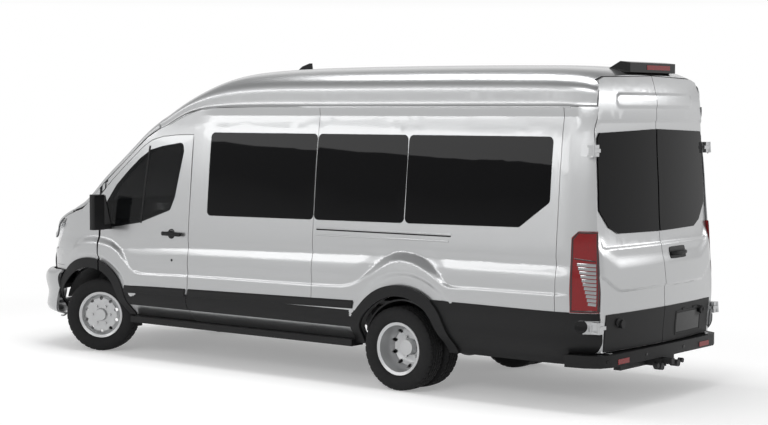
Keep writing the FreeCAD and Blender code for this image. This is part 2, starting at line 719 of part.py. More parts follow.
MIRROR_OUT = 1237.0
MIRROR_IN = 1085.0
MIRROR_LOW = 1190.0
MIRROR_HIGH = 1520.0
MIRROR_X = 2010.0
MIRROR_DEEP = 130.0
MIRROR_FOOT_Z = 1215.0
MIRROR_ARM_HALF = 24.0
MIRROR_RIM = 13.0
# Shares of the head's depth: its plan, and the arm's
HEAD_MID_SHARE = 0.55
HEAD_OUT_SHARE = 0.08
HEAD_NOSE_SHARE = 0.6
HEAD_IN_SHARE = 0.1
HEAD_CORNER_SHARE = 0.2
ARM_BACK_SHARE = 0.1
# Shares of half the length and of the height: the sail panel in the window's front corner
SAIL_SHARES = [(0.644, 0.437), (0.644, 0.543), (0.636, 0.548), (0.600, 0.433)]


def door_mirror():
    """Tall mirror head on an arm from a sail panel on the door."""
    mid_x = MIRROR_X + MIRROR_DEEP * HEAD_MID_SHARE
    head = plan_prism([(MIRROR_X, MIRROR_IN), (MIRROR_X, MIRROR_OUT),
                       (mid_x, MIRROR_OUT - MIRROR_DEEP * HEAD_OUT_SHARE),
                       (MIRROR_X + MIRROR_DEEP, MIRROR_OUT - MIRROR_DEEP * HEAD_NOSE_SHARE),
                       (mid_x, MIRROR_IN + MIRROR_DEEP * HEAD_IN_SHARE)],
                      MIRROR_LOW, MIRROR_HIGH, MIRROR_DEEP * HEAD_CORNER_SHARE)
    face = box(MIRROR_X - OVERRUN, MIRROR_X + GLASS, MIRROR_IN + MIRROR_RIM, MIRROR_OUT - MIRROR_RIM,
               MIRROR_LOW + MIRROR_RIM, MIRROR_HIGH - MIRROR_RIM)
    head = head.cut(face)
    skin = slab(side_grid(-GLASS), side_grid(0.0))
    sail = skin.common(side_prism(shares_at(SAIL_SHARES, HALF, HEIGHT)))
    foot = side_y(MIRROR_X, MIRROR_FOOT_Z) + GLASS / 2
    back_x = MIRROR_X + MIRROR_DEEP * ARM_BACK_SHARE
    arm = plan_prism([(mid_x, foot), (back_x, foot), (back_x, MIRROR_IN + WALL), (mid_x, MIRROR_IN + WALL)],
                     MIRROR_FOOT_Z - MIRROR_ARM_HALF, MIRROR_FOOT_Z + MIRROR_ARM_HALF)
    mirror = head.fuse([arm, sail]).removeSplitter()
    return mirror.cut(SIDE_SLAB)


def rear_door():
    points = [(y * HALF_WIDTH, z * HEIGHT) for y, z in REAR_OPENING_SHARES]
    inset = DOOR_GAP / 2
    trimmed = [(inset, points[0][1] + inset), (points[1][0] - inset, points[1][1] + inset)]
    trimmed += [(y - inset, z) for y, z in points[2:-3]]
    trimmed += [(y - inset, z - inset) for y, z in points[-3:-1]]
    trimmed.append((inset, points[-1][1] - inset))
    panel = REAR_SLAB.common(back_prism(trimmed))
    panel = panel.cut(REAR_SKIN.common(rear_glass_prism(GLASS_SEAT)))
    hole = [(max(y * HALF_WIDTH * INNER_GLASS_SHARE, PANE_BORDER), z * HEIGHT)
            for y, z in REAR_GLASS_SHARES]
    middle = (hole[0][1] + hole[-1][1]) / 2
    hole = [(y, middle + (z - middle) * REAR_HOLE_SHARE) for y, z in hole]
    panel = panel.cut(back_prism(hole, BAND_CORNER))
    for level in REAR_HINGE_Z:
        leaf, bore = moving_leaf(level)
        panel = panel.fuse(leaf).cut(bore)
    return panel


def rear_glass_prism(grow):
    """Prism of a rear pane, larger by a seat's width on every side where asked."""
    points = [(y * HALF_WIDTH, z * HEIGHT) for y, z in REAR_GLASS_SHARES]
    middle = (points[0][1] + points[-1][1]) / 2
    scale = 1 + grow / middle * 4
    wider = [(y + grow, middle + (z - middle) * scale) for y, z in points]
    wider[0] = (DOOR_GAP / 2 + GLASS - grow, wider[0][1])
    wider[-1] = (DOOR_GAP / 2 + GLASS - grow, wider[-1][1])
    return back_prism(wider)


def rear_glass():
    return REAR_PANE.common(rear_glass_prism(0.0))


def roof_cap():
    cap = arch_slab(SHOULDER_SHARES, CROWN_SHARES, upper_power, 0.0, ROOF_WALL,
                    SHOULDER[0][0], HEADER_X)
    return cap.cut(rear_opening(DOOR_GAP / 2))


SCREEN_FRONT = 2560.0
SCREEN_TOP_X = 1560.0
SCREEN_LOW_HALF = 800.0
SCREEN_TOP_HALF = 700.0
SCREEN_LAP = 24.0


def screen_prism(grow):
    points = [(SCREEN_FRONT + grow, SCREEN_LOW_HALF + grow), (SCREEN_TOP_X - grow, SCREEN_TOP_HALF + grow),
              (SCREEN_TOP_X - grow, -SCREEN_TOP_HALF - grow), (SCREEN_FRONT + grow, -SCREEN_LOW_HALF - grow)]
    return plan_prism(points, HEIGHT / 3, HEIGHT, WALL)


HOOD_PIN_X = 2618.0
HOOD_PIN_Z = 1385.0
HOOD_PIN_Y = 260.0
HOOD_PIN = 5.0
HOOD_EYE = 9.0
HOOD_PIN_HALF = 34.0


def hood_eye():
    """Fixed half of a hood hinge: an eye standing forward from the cowl, with its pin."""
    eye = Part.makeCylinder(HOOD_EYE, 2 * HOOD_EYE, V(HOOD_PIN_X, HOOD_PIN_Y - HOOD_EYE, HOOD_PIN_Z), Y_AXIS)
    arm = box(COWL_X - WALL / 2, HOOD_PIN_X, HOOD_PIN_Y - HOOD_EYE, HOOD_PIN_Y + HOOD_EYE,
              HOOD_PIN_Z - HOOD_EYE, HOOD_PIN_Z + HOOD_EYE)
    pin = Part.makeCylinder(HOOD_PIN, 2 * HOOD_PIN_HALF,
                            V(HOOD_PIN_X, HOOD_PIN_Y - HOOD_PIN_HALF, HOOD_PIN_Z), Y_AXIS)
    return eye.fuse([arm, pin])


def windscreen_frame():
    frame = arch_slab(SHOULDER_SHARES, CROWN_SHARES, upper_power, 0.0, ROOF_WALL, HEADER_X, COWL_X)
    frame = frame.cut(screen_prism(-SCREEN_LAP))
    seat = arch_slab(SHOULDER_SHARES, CROWN_SHARES, upper_power, OVERRUN, GLASS + GLASS_SEAT,
                     HEADER_X, COWL_X)
    frame = frame.cut(seat.common(screen_prism(GLASS_SEAT)))
    eye = hood_eye()
    return frame.fuse([eye, mirrored(eye)])


def screen_glass():
    pane = arch_slab(SHOULDER_SHARES, CROWN_SHARES, upper_power, 0.0, GLASS, HEADER_X, COWL_X)
    return pane.common(screen_prism(0.0))


def cant_strip():
    """Side wall above the front door, from the B pillar forward to the hinge pillar."""
    front_x = DOOR_FRONT_X + DOOR_GAP - SEAM
    door_line = [(x, z + DOOR_GAP) for x, z in DOOR_TOP]
    lower = [(x, z) for x, z in door_line if DOOR_REAR_X < x < front_x - DOOR_GAP]
    lower.sort()
    upper = [(x, z - 2 * SEAM) for x, z in SHOULDER if DOOR_REAR_X + SEAM < x < front_x]
    upper.sort()
    start = DOOR_REAR_X - DOOR_GAP
    points = [(start, lower[0][1])] + lower[1:]
    share = (front_x - lower[-1][0]) / (DOOR_TOP[0][0] - lower[-1][0])
    tip_z = DOOR_TOP[0][1] + 3 * DOOR_GAP
    points.append((front_x, lower[-1][1] + (tip_z - lower[-1][1]) * share))
    points.append((front_x, smooth(SHOULDER_SHARES, front_x / HALF) * HEIGHT - 2 * SEAM))
    points += list(reversed(upper))
    points.append((start, smooth(SHOULDER_SHARES, start / HALF) * HEIGHT - 2 * SEAM))
    turning = Part.makeCylinder(PIN_HEAD + DOOR_GAP, HEIGHT, V(DOOR_AXIS_X, DOOR_AXIS_Y, 0))
    return SIDE_SLAB.common(side_prism(points)).cut(turning)


HOOD_REAR_X = 2606.0
HOOD_FRONT_X = 3055.0


def hood():
    panel = arch_slab(HOOD_BASE_SHARES, HOOD_CROWN_SHARES, HOOD_POWER, -DOOR_GAP, HOOD_WALL + DOOR_GAP,
                      HOOD_REAR_X, HOOD_FRONT_X)
    side = HOOD_EYE + DOOR_GAP
    notch = box(HOOD_REAR_X - OVERRUN, HOOD_PIN_X + side, HOOD_PIN_Y - side, HOOD_PIN_Y + side, 0, HEIGHT)
    reach = HOOD_PIN_HALF + REST_GAP
    bore = Part.makeCylinder(HOOD_PIN + RUNNING, 2 * reach,
                             V(HOOD_PIN_X, HOOD_PIN_Y - reach, HOOD_PIN_Z), Y_AXIS)
    room = notch.fuse(bore)
    return panel.cut([room, mirrored(room)])


SEAL_WIDE = 16.0
SEAL_FRONT_X = 335.15


def roof_seal():
    """Strip that closes the gutter line between the side wall and the roof."""
    y = side_y(0, GUTTER_Z) - WALL / 2
    shoulder = SHOULDER[0][1]
    return both(box(CORNER_SEAM_X - 2 * OVERRUN, SEAL_FRONT_X, y - SEAL_WIDE / 2, y + SEAL_WIDE / 2,
                    shoulder - SEAM + GLASS_SEAT / 2, shoulder - 2 * GLASS_SEAT))


def tyre(place, axis):
    half = TYRE_WIDTH / 2
    tread = TREAD_WIDTH / 2
    edge = BEAD_HALF + RIM_WALL
    points = [(TYRE_BORE, -BEAD_HALF), (RIM_RADIUS, -edge), (BULGE_RADIUS, -half),
              (TYRE_RADIUS - SHOULDER_DROP, -tread - RIM_WALL), (TYRE_RADIUS, -tread + RIM_WALL),
              (TYRE_RADIUS, tread - RIM_WALL), (TYRE_RADIUS - SHOULDER_DROP, tread + RIM_WALL),
              (BULGE_RADIUS, half), (RIM_RADIUS, edge), (TYRE_BORE, BEAD_HALF)]
    return turned(points, place, axis)


def rim(place, axis, disc_points):
    """Pressed steel wheel: a rim with flanges round a disc given as (radius, along) points."""
    half = RIM_WIDTH / 2
    seat = TYRE_BORE - REST_GAP
    edge = BEAD_HALF + RIM_WALL + REST_GAP
    barrel = TYRE_BORE - RIM_WALL
    points = [(barrel, -edge), (RIM_RADIUS, -half), (RIM_RADIUS, -edge), (seat, -BEAD_HALF - REST_GAP),
              (seat, BEAD_HALF + REST_GAP), (RIM_RADIUS, edge), (RIM_RADIUS, half), (barrel, edge)]
    return turned(points + disc_points, place, axis)


def front_disc():
    """Disc that bulges outward to a closed centre cap over the spindle."""
    bore = SPINDLE + RUNNING
    back = DISH_FRONT - RIM_WALL
    cap = DISH_FRONT + CAP_HIGH
    edge, vent, inner = [share * DISH_FRONT for share in FRONT_DISC_SHARES]
    return [(DISC_EDGE, edge), (VENT_CIRCLE, vent), (DISC_FLAT, DISH_FRONT), (HUB_RADIUS, DISH_FRONT),
            (HUB_RADIUS - RIM_WALL, cap), (0, cap), (0, cap - RIM_WALL), (bore, cap - RIM_WALL),
            (bore, back), (DISC_FLAT, back), (DISC_EDGE - RIM_WALL / 2, inner)]


def rear_disc(capped):
    """Deep dished disc; the outer wheel's carries the hub's closed end."""
    bore = SPINDLE + RUNNING
    back = DISH_REAR - RIM_WALL + REST_GAP / 2
    edge, vent, inner = [share * DISH_REAR for share in REAR_DISC_SHARES]
    face = [(DISC_EDGE, edge), (VENT_CIRCLE, vent), (DISC_FLAT, DISH_REAR)]
    if capped:
        high = DISH_REAR + REAR_HUB_HIGH
        face += [(HUB_RADIUS + RIM_WALL, DISH_REAR), (HUB_RADIUS, high), (0, high), (0, high - RIM_WALL),
                 (bore, high - RIM_WALL), (bore, back)]
    else:
        face += [(bore, DISH_REAR), (bore, back)]
    return face + [(DISC_FLAT, back), (VENT_CIRCLE + RIM_WALL / 2, vent - RIM_WALL),
                   (TYRE_BORE - RIM_WALL, inner)]


def ring_cut(solid, place, axis, circle, count, radius):
    """Round holes on a circle through a wheel disc."""
    side = axis.cross(Z_AXIS).normalize()
    tools = []
    for i in range(count):
        turn = 2 * math.pi * (i + 1 / 2) / count
        spot = place + side * (circle * math.cos(turn)) + Z_AXIS * (circle * math.sin(turn))
        start = spot - axis * RIM_WIDTH
        tools.append(rod(start, spot + axis * RIM_WIDTH, radius))
    return solid.cut(tools)


def lugs(solid, place, axis, dish):
    """Nuts on the disc's bolt circle, fused to it."""
    side = axis.cross(Z_AXIS).normalize()
    for i in range(LUG_COUNT):
        turn = 2 * math.pi * i / LUG_COUNT
        spot = place + side * (LUG_CIRCLE * math.cos(turn)) + Z_AXIS * (LUG_CIRCLE * math.sin(turn))
        nut = rod(spot + axis * (dish - REST_GAP), spot + axis * (dish + LUG_HEIGHT), LUG_RADIUS)
        solid = solid.fuse(nut)
    return solid


def front_wheel(sign):
    """Rim and tyre of one front wheel, steered as the vehicle stands."""
    king = V(FRONT_AXLE_X, sign * (FRONT_TRACK / 2 - KINGPIN_INSET), TYRE_RADIUS)
    turn = math.radians(STEER_REST)
    out = V(-math.sin(turn), math.cos(turn), 0) * sign
    place = king + out * KINGPIN_INSET
    wheel = rim(place, out, front_disc())
    wheel = ring_cut(wheel, place, out, VENT_CIRCLE, VENT_COUNT, VENT_RADIUS)
    wheel = lugs(wheel, place, out, DISH_FRONT)
    return wheel, tyre(place, out), king, out, place


KNUCKLE_RADIUS = 26.0
KNUCKLE_LOW = 130.0
KNUCKLE_HIGH = 165.0
BALL_PIN = 14.0
BALL_LONG = 30.0
ROTOR_RADIUS = 120.0
ROTOR_HALF = 12.0
ARM_THICK = 30.0
UPPER_ARM_THICK = 12.0
ARM_HALF = 45.0
UPPER_ARM_HALF = 28.0


def knuckle(king, out, place):
    """Steering knuckle: an upright on two ball pins with the wheel's spindle, rotor and steering arm."""
    upright = Part.makeCylinder(KNUCKLE_RADIUS, KNUCKLE_LOW + KNUCKLE_HIGH, king - Z_AXIS * KNUCKLE_LOW)
    spindle = rod(king, place + out * (DISH_FRONT + CAP_HIGH - 2 * RIM_WALL), SPINDLE)
    rotor = rod(place - out * 2 * ROTOR_HALF, place, ROTOR_RADIUS)
    body = upright.fuse([spindle, rotor])
    for start in (king - Z_AXIS * KNUCKLE_LOW, king + Z_AXIS * (KNUCKLE_HIGH - BALL_LONG)):
        body = body.cut(Part.makeCylinder(BALL_PIN + RUNNING, BALL_LONG, start))
    return body.removeSplitter()


def rear_wheels(sign):
    out = Y_AXIS * sign
    outer = V(REAR_AXLE_X, sign * REAR_TRACK_OUTER / 2, TYRE_RADIUS)
    inner = outer - out * TWIN_PITCH
    wheel = rim(outer, out, rear_disc(True))
    wheel = ring_cut(wheel, outer, out, VENT_CIRCLE, VENT_COUNT, VENT_RADIUS)
    wheel = lugs(wheel, outer, out, DISH_REAR)
    mate = rim(inner, out * -1, rear_disc(False))
    return [wheel, mate], [tyre(outer, out), tyre(inner, out)]


# Front end: plan of the painted nose, as shares of half the length and half the width
NOSE_PLAN_SHARES = [
    (0.7760, 0.9660), (0.8200, 0.9280), (0.8660, 0.8690), (0.8960, 0.8150),
    (0.9160, 0.7570), (0.9330, 0.6600), (0.9520, 0.5050), (0.9690, 0.2900), (0.9750, 0.0)]
NOSE_LEAN_SHARES = [
    (0.0, 1.0), (0.6600, 1.0), (0.7570, 0.80), (0.8150, 0.50), (0.8690, 0.20), (0.9280, 0.0)]
NOSE_BACK_SHARES = [
    (0.2770, 0.0), (0.3350, 0.0050), (0.3530, 0.0130), (0.3930, 0.0300), (0.4400, 0.0600)]
BUMPER_PLAN_SHARES = [
    (0.8350, 0.9620), (0.8700, 0.9450), (0.9050, 0.9000), (0.9320, 0.8350), (0.9550, 0.7280),
    (0.9770, 0.5340), (0.9914, 0.2900), (0.9973, 0.0)]
BUMPER_BACK_SHARES = [
    (0.1060, 0.0600), (0.1250, 0.0240), (0.1590, 0.0036), (0.1900, 0.0090), (0.2250, 0.0),
    (0.2620, 0.0030), (0.2757, 0.0200)]
GRILLE_HALF = 560.0
LAMP_SEAM = 966.0
NOSE_WALL = 30.0
SLATS = 5
SLAT_RISE = 26.0
SLAT_PITCH_SHARE = 1.5
SLOT_HALF = 515.0
SLOT_REAR_X = HALF * 0.85
INTAKE_HALF = 504.0
INTAKE_LOW = 412.5
INTAKE_HIGH = 563.75


def plan_grid(plan, back, lean, inset):
    """Grid round the front end from a plan curve that steps back with height."""
    rows = []
    half = [(x, y) for x, y in plan]
    full = half[:-1] + [half[-1]] + [(x, -y) for x, y in reversed(half[:-1])]
    for x, y in full:
        rows.append([])
        for z, step in back:
            share = smooth(lean, abs(y)) if lean else 1.0
            normal = V(1, 0, 0)
            if abs(y) > 0:
                i = [abs(b - abs(y)) for _, b in plan].index(0)
                low = plan[max(i - 1, 0)]
                high = plan[min(i + 1, len(plan) - 1)]
                run = V(high[0] - low[0], (high[1] - low[1]) * HALF_WIDTH / HALF, 0)
                normal = V(-run.y, run.x, 0).normalize()
                if y < 0:
                    normal = V(normal.x, -normal.y, 0)
            place = V(x * HALF, y * HALF_WIDTH, z * HEIGHT)
            rows[-1].append(place - X_AXIS * (step * share * HALF) - normal * inset)
    return rows


def bumper_slab():
    outer = plan_grid(BUMPER_PLAN_SHARES, BUMPER_BACK_SHARES, None, 0.0)
    inner = plan_grid(BUMPER_PLAN_SHARES, BUMPER_BACK_SHARES, None, NOSE_WALL)
    return slab(outer, inner)


def front_bumper():
    bumper = bumper_slab()
    room = disc(FRONT_AXLE_X, ARCH_Z, FRONT_ARCH + FLARE_BAND / 2)
    bumper = bumper.cut(room).cut(mirrored(room))
    intake = box(FRONT_ZONE_X, HALF + OVERRUN, -INTAKE_HALF, INTAKE_HALF, INTAKE_LOW, INTAKE_HIGH)
    return bumper.cut(intake)


def nose_slab(proud, thick):
    outer = plan_grid(NOSE_PLAN_SHARES, NOSE_BACK_SHARES, NOSE_LEAN_SHARES, -proud)
    inner = plan_grid(NOSE_PLAN_SHARES, NOSE_BACK_SHARES, NOSE_LEAN_SHARES, thick)
    return slab(outer, inner)


def hood_room():
    lower = [(x, z - (DOOR_GAP + SEAM / 2) / HEIGHT) for x, z in HOOD_BASE_SHARES]
    return arch_slab(lower, HOOD_CROWN_SHARES, HOOD_POWER, 4 * OVERRUN,
                     HOOD_WALL + 2 * DOOR_GAP, COWL_X, HALF + OVERRUN)


def front_end():
    """Grille, headlamps and painted nose corners from one slab under the hood's edge."""
    nose = nose_slab(0.0, NOSE_WALL).cut(hood_room())
    low = BUMPER_TOP + SEAM
    middle = box(0, HALF + OVERRUN, -GRILLE_HALF, GRILLE_HALF, low, HEIGHT)
    grille = nose.common(middle)
    pitch = (LAMP_SEAM - low) / SLATS * SLAT_PITCH_SHARE
    for i in range(SLATS):
        z = low + NOSE_WALL + i * pitch
        slot = box(SLOT_REAR_X, HALF + OVERRUN, -SLOT_HALF, SLOT_HALF, z, z + SLAT_RISE)
        grille = grille.cut(slot)
    lamp_zone = box(LAMP_REAR_X - OVERRUN, HALF + OVERRUN, GRILLE_HALF + SEAM, HALF_WIDTH,
                    LAMP_SEAM, HEIGHT)
    lamp = nose.common(lamp_zone).common(headlamp_room(-REST_GAP))
    corner_zone = box(FRONT_ZONE_X + SEAM, HALF + OVERRUN, GRILLE_HALF + SEAM, HALF_WIDTH,
                      low, LAMP_SEAM - SEAM)
    corner = nose.common(corner_zone)
    return grille, both(lamp), both(corner)


MOULD_PROUD = 8.0
STEP_PROUD = 4.0
CLAD_TOP_REAR = 785.0
CLAD_LOW_REAR = 352.0
CLAD_REAR_X = -3300.0


def proud_skin(proud, inset=0.0):
    return slab(side_grid(-proud), side_grid(inset))


def flare(x, radius, proud, keep):
    """Band of trim round a wheel opening, standing off the side."""
    ring = disc(x, ARCH_Z, radius + FLARE_BAND).cut(disc(x, ARCH_Z, radius))
    return proud_skin(proud).common(ring).common(side_prism(keep))


def side_cladding():
    """Black mouldings, wheel flares and steps of the fixed body side."""
    skin = proud_skin(MOULD_PROUD)
    front = DOOR_REAR_X - DOOR_GAP
    band = [(front, MOULD_LOW_Z), (REAR_ARCH_X, MOULD_LOW_Z), (REAR_ARCH_X, MOULD_HIGH_Z),
            (front, MOULD_HIGH_Z)]
    pieces = []
    rear_ring = disc(REAR_ARCH_X, ARCH_Z, REAR_ARCH + FLARE_BAND + SEAM)
    pieces.append(skin.common(side_prism(band)).cut(rear_ring))
    tail = [(REAR_ARCH_X, CLAD_LOW_REAR), (REAR_ARCH_X, CLAD_TOP_REAR),
            (CLAD_REAR_X, CLAD_TOP_REAR - 2 * MOULD_PROUD), (CLAD_REAR_X, CLAD_LOW_REAR)]
    tail_piece = skin.common(side_prism(tail)).cut(rear_ring)
    tail_piece = tail_piece.cut(rear_opening(DOOR_GAP / 2))
    for level in REAR_HINGE_Z:
        tail_piece = tail_piece.cut(hinge_room(level))
    pieces.append(tail_piece.cut(lamp_pocket(SEAM)).cut(bumper_room()))
    above = [(REAR_ARCH_X - HALF / 4, CLAD_LOW_REAR), (REAR_ARCH_X + HALF / 4, CLAD_LOW_REAR),
             (REAR_ARCH_X + HALF / 4, HEIGHT / 2), (REAR_ARCH_X - HALF / 4, HEIGHT / 2)]
    pieces.append(flare(REAR_ARCH_X, REAR_ARCH, REAR_FLARE_PROUD, above))
    ahead = [(DOOR_FRONT_X + DOOR_GAP, CLAD_LOW_REAR), (FRONT_ZONE_X, CLAD_LOW_REAR),
             (FRONT_ZONE_X, HEIGHT / 2), (DOOR_FRONT_X + DOOR_GAP, HEIGHT / 2)]
    band = flare(FRONT_AXLE_X, FRONT_ARCH, FLARE_PROUD, ahead).cut(nose_room())
    pieces.append(band.cut(front_bumper()))
    sill_in = side_y(0, SILL_Z) - 3 * WALL
    step_front = FRONT_AXLE_X - FRONT_ARCH - FLARE_BAND
    step_rear = REAR_ARCH_X + REAR_ARCH + FLARE_BAND
    pieces.append(box(step_rear, step_front, sill_in, side_y(0, SILL_Z) + STEP_PROUD,
                      STEP_BOTTOM_Z, SILL_Z - DOOR_GAP / 2))
    rocker = box(step_rear, front - SEAM, sill_in, side_y(0, SILL_Z), SILL_Z - DOOR_GAP / 2, MOULD_LOW_Z)
    pieces.append(max(rocker.cut(SIDE_SLAB).Solids, key=lambda solid: solid.Volume))
    solids = []
    for piece in pieces:
        solids += piece.Solids
    solids = [solid for solid in solids if solid.Volume > OVERRUN ** 2]
    return both(Part.makeCompound(solids))


def hinge_room(level):
    """Pocket in the cladding round an exposed hinge."""
    centre = rear_axis_point(level)
    return box(centre.x - OVERRUN, centre.x + STRAP_REACH_SHARE * REAR_AXIS_OUT + SEAM, 0, 2 * HALF_WIDTH,
               level - REAR_HINGE_HALF - DOOR_GAP, level + REAR_HINGE_HALF + DOOR_GAP)


HANDLE_Z = 1182.0
HANDLE_FRONT_X = 1300.0
HANDLE_LONG = 225.0
HANDLE_HIGH = 34.0
HANDLE_PROUD = 40.0
HANDLE_POST_SHARE = 0.35


def door_trim():
    """Black trim of a front door: mirror, moulding, flare end and handle."""
    skin = proud_skin(MOULD_PROUD)
    ring = disc(FRONT_AXLE_X, ARCH_Z, FRONT_ARCH + FLARE_BAND + SEAM)
    band = [(DOOR_REAR_X, MOULD_LOW_Z), (DOOR_FRONT_X, MOULD_LOW_Z), (DOOR_FRONT_X, MOULD_HIGH_Z),
            (DOOR_REAR_X, MOULD_HIGH_Z)]
    mould = skin.common(side_prism(band)).cut(ring)
    keep = [(DOOR_REAR_X, SILL_Z + DOOR_GAP), (DOOR_FRONT_X, SILL_Z + DOOR_GAP),
            (DOOR_FRONT_X, HEIGHT / 2), (DOOR_REAR_X, HEIGHT / 2)]
    end = flare(FRONT_AXLE_X, FRONT_ARCH + DOOR_GAP, FLARE_PROUD, keep)
    y = side_y(HANDLE_FRONT_X - HANDLE_LONG / 2, HANDLE_Z)
    low = HANDLE_Z - HANDLE_HIGH / 2
    high = HANDLE_Z + HANDLE_HIGH / 2
    rear = HANDLE_FRONT_X - HANDLE_LONG
    bar = box(rear, HANDLE_FRONT_X, y + HANDLE_PROUD / 2, y + HANDLE_PROUD, low, high)
    post_rear = rear + HANDLE_LONG * HANDLE_POST_SHARE
    post_front = HANDLE_FRONT_X - HANDLE_LONG * HANDLE_POST_SHARE
    posts = box(post_rear, post_front, y - WALL / 2, y + HANDLE_PROUD / 2, low, high)
    handle = bar.fuse(posts).removeSplitter().cut(SIDE_SLAB)
    solids = mould.Solids + end.Solids + handle.Solids + door_mirror().Solids
    return Part.makeCompound([solid for solid in solids if solid.Volume > OVERRUN ** 2])


REAR_TRIM_TOP = 752.0
STOP_RADIUS = 33.0
STOP_Y = 640.0
STOP_Z = 668.0
STOP_LONG_SHARE = 1.5


def rear_door_trim():
    """Black lower cladding of a rear door with its rubber stop."""
    skin = slab(rear_grid(-GLASS, HALF_WIDTH), rear_grid(0.0, HALF_WIDTH))
    edge = REAR_OPENING_SHARES[1][0] * HALF_WIDTH - WALL
    low = REAR_OPENING_SHARES[1][1] * HEIGHT + DOOR_GAP
    area = [(DOOR_GAP / 2, low), (edge, low), (edge, REAR_TRIM_TOP), (DOOR_GAP / 2, REAR_TRIM_TOP)]
    clad = skin.common(back_prism(area))
    start = V(rear_x(STOP_Y, STOP_Z) - STOP_RADIUS, STOP_Y, STOP_Z)
    stop = Part.makeCylinder(STOP_RADIUS, STOP_RADIUS * STOP_LONG_SHARE, start, X_AXIS).cut(REAR_SLAB)
    return clad.fuse(stop).removeSplitter()


# Shares of half the length and of the half width: plan of the rear bumper, outside then inside
REAR_BUMPER_SHARES = [(0.905, 0.978), (0.955, 0.955), (0.985, 0.900), (0.9985, 0.800), (1.0, 0.0)]
BUMPER_MOUTH_SHARE = 0.86
BUMPER_BACK_SHARE = 0.74


def rear_bumper():
    """Stepped rear bumper wrapped round both corners under the doors."""
    points = [(-x, y) for x, y in shares_at(REAR_BUMPER_SHARES, HALF, HALF_WIDTH)]
    ring = points + [(x, -y) for x, y in reversed(points[:-1])]
    mouth = HALF_WIDTH * BUMPER_MOUTH_SHARE
    back = HALF_WIDTH * BUMPER_BACK_SHARE
    inside = -HALF + BUMPER_STEP_DEEP
    ring += [(BUMPER_FRONT_X, -mouth), (inside, -back), (inside, back), (BUMPER_FRONT_X, mouth)]
    return plan_prism(ring, BUMPER_STEP_LOW, BUMPER_STEP_TOP)


RAIL_Y = 400.0
RAIL_WIDE = 70.0
RAIL_LOW = 500.0
RAIL_HIGH = 610.0
RAIL_REAR_X = -2991.5
RAIL_FRONT_X = 3116.9
CROSS_LOW = 555.0
CROSS_SHARES = [-0.8717, -0.5156, -0.1594, 0.1968]
CAB_CROSS_X = 1500.0
NOSE_CROSS_X = 3080.0
MOUNT_X = 2700.0
MOUNT_LONG = 100.0
CARRIER_LEVELS = [(560.0, 600.0), (800.0, 840.0), (1000.0, 1018.0)]
CARRIER_WIDE = 860.0
CARRIER_CORNER_X = 2865.5


def chassis():
    """Two long rails with cross members up to the floor, engine mounts and the nose carrier."""
    rear = RAIL_REAR_X
    front = RAIL_FRONT_X
    half = RAIL_WIDE / 2
    floor_low = FLOOR_TOP - FLOOR_THICK
    pieces = [box(rear, front, -RAIL_Y - half, -RAIL_Y + half, RAIL_LOW, RAIL_HIGH)]
    for share in CROSS_SHARES:
        x = share * HALF
        pieces.append(box(x - half, x + half, -RAIL_Y - half, RAIL_Y + half, CROSS_LOW, floor_low))
    for x in (CAB_CROSS_X, NOSE_CROSS_X):
        pieces.append(box(x - half, x + half, -RAIL_Y, RAIL_Y, CROSS_LOW, RAIL_HIGH))
    for sign in (1, -1):
        low = sign * RAIL_Y - half
        high = sign * RAIL_Y + half
        pieces.append(box(rear, rear + RAIL_WIDE, low, high, BUMPER_STEP_LOW, RAIL_LOW))
        pieces.append(box(-HALF + BUMPER_STEP_DEEP, rear + RAIL_WIDE, low, high, BUMPER_STEP_LOW,
                          BUMPER_STEP_TOP))
        pieces.append(box(MOUNT_X, MOUNT_X + MOUNT_LONG, sign * ENGINE_WIDE / 2, sign * RAIL_Y, RAIL_LOW,
                          RAIL_HIGH))
        pieces.append(box(NOSE_CROSS_X - half, NOSE_CROSS_X + half, low, high, RAIL_LOW,
                          CARRIER_LEVELS[-1][1]))
    pieces += carrier_bars()
    frame = box(rear, front, RAIL_Y - half, RAIL_Y + half, RAIL_LOW, RAIL_HIGH)
    return frame.fuse(pieces).removeSplitter()


def carrier_bars():
    """Bars behind the nose that the grille, lamps, corners and bumper sit on."""
    bars = []
    nose = nose_slab(0.0, NOSE_WALL + GLASS_SEAT)
    bumper = bumper_slab()
    plan = [(NOSE_CROSS_X - RAIL_WIDE / 2, RAIL_Y), (CARRIER_CORNER_X, CARRIER_WIDE),
            (HALF + OVERRUN, CARRIER_WIDE)]
    ring = plan + [(x, -y) for x, y in reversed(plan)]
    for low, high in CARRIER_LEVELS:
        bar = plan_prism(ring, low, high).cut([nose, bumper, SIDE_SLAB, mirrored(SIDE_SLAB)])
        large = [solid for solid in bar.Solids if solid.Volume > OVERRUN ** 3]
        bars.append(min(large, key=lambda solid: solid.BoundBox.XMax))
    return bars


CAB_FLOOR_TOP = 640.0
HOUSE_IN_Y = 590.0
HOUSE_GROW = 30.0
HOUSE_WALL = 14.0
TOE_X = 2150.0
FIREWALL_X = 2330.0
DOOR_INNER_CLEAR = 24.0
FLOOR_REAR_X = -3200.7
TOE_HIGH = 882.0
COWL_Z = 1210.0
LINK_HIGH = 1265.0
LINK_BACK_SHARE = 0.4
HOUSE_LOW = 488.0
LINING_CLEAR = 35.0


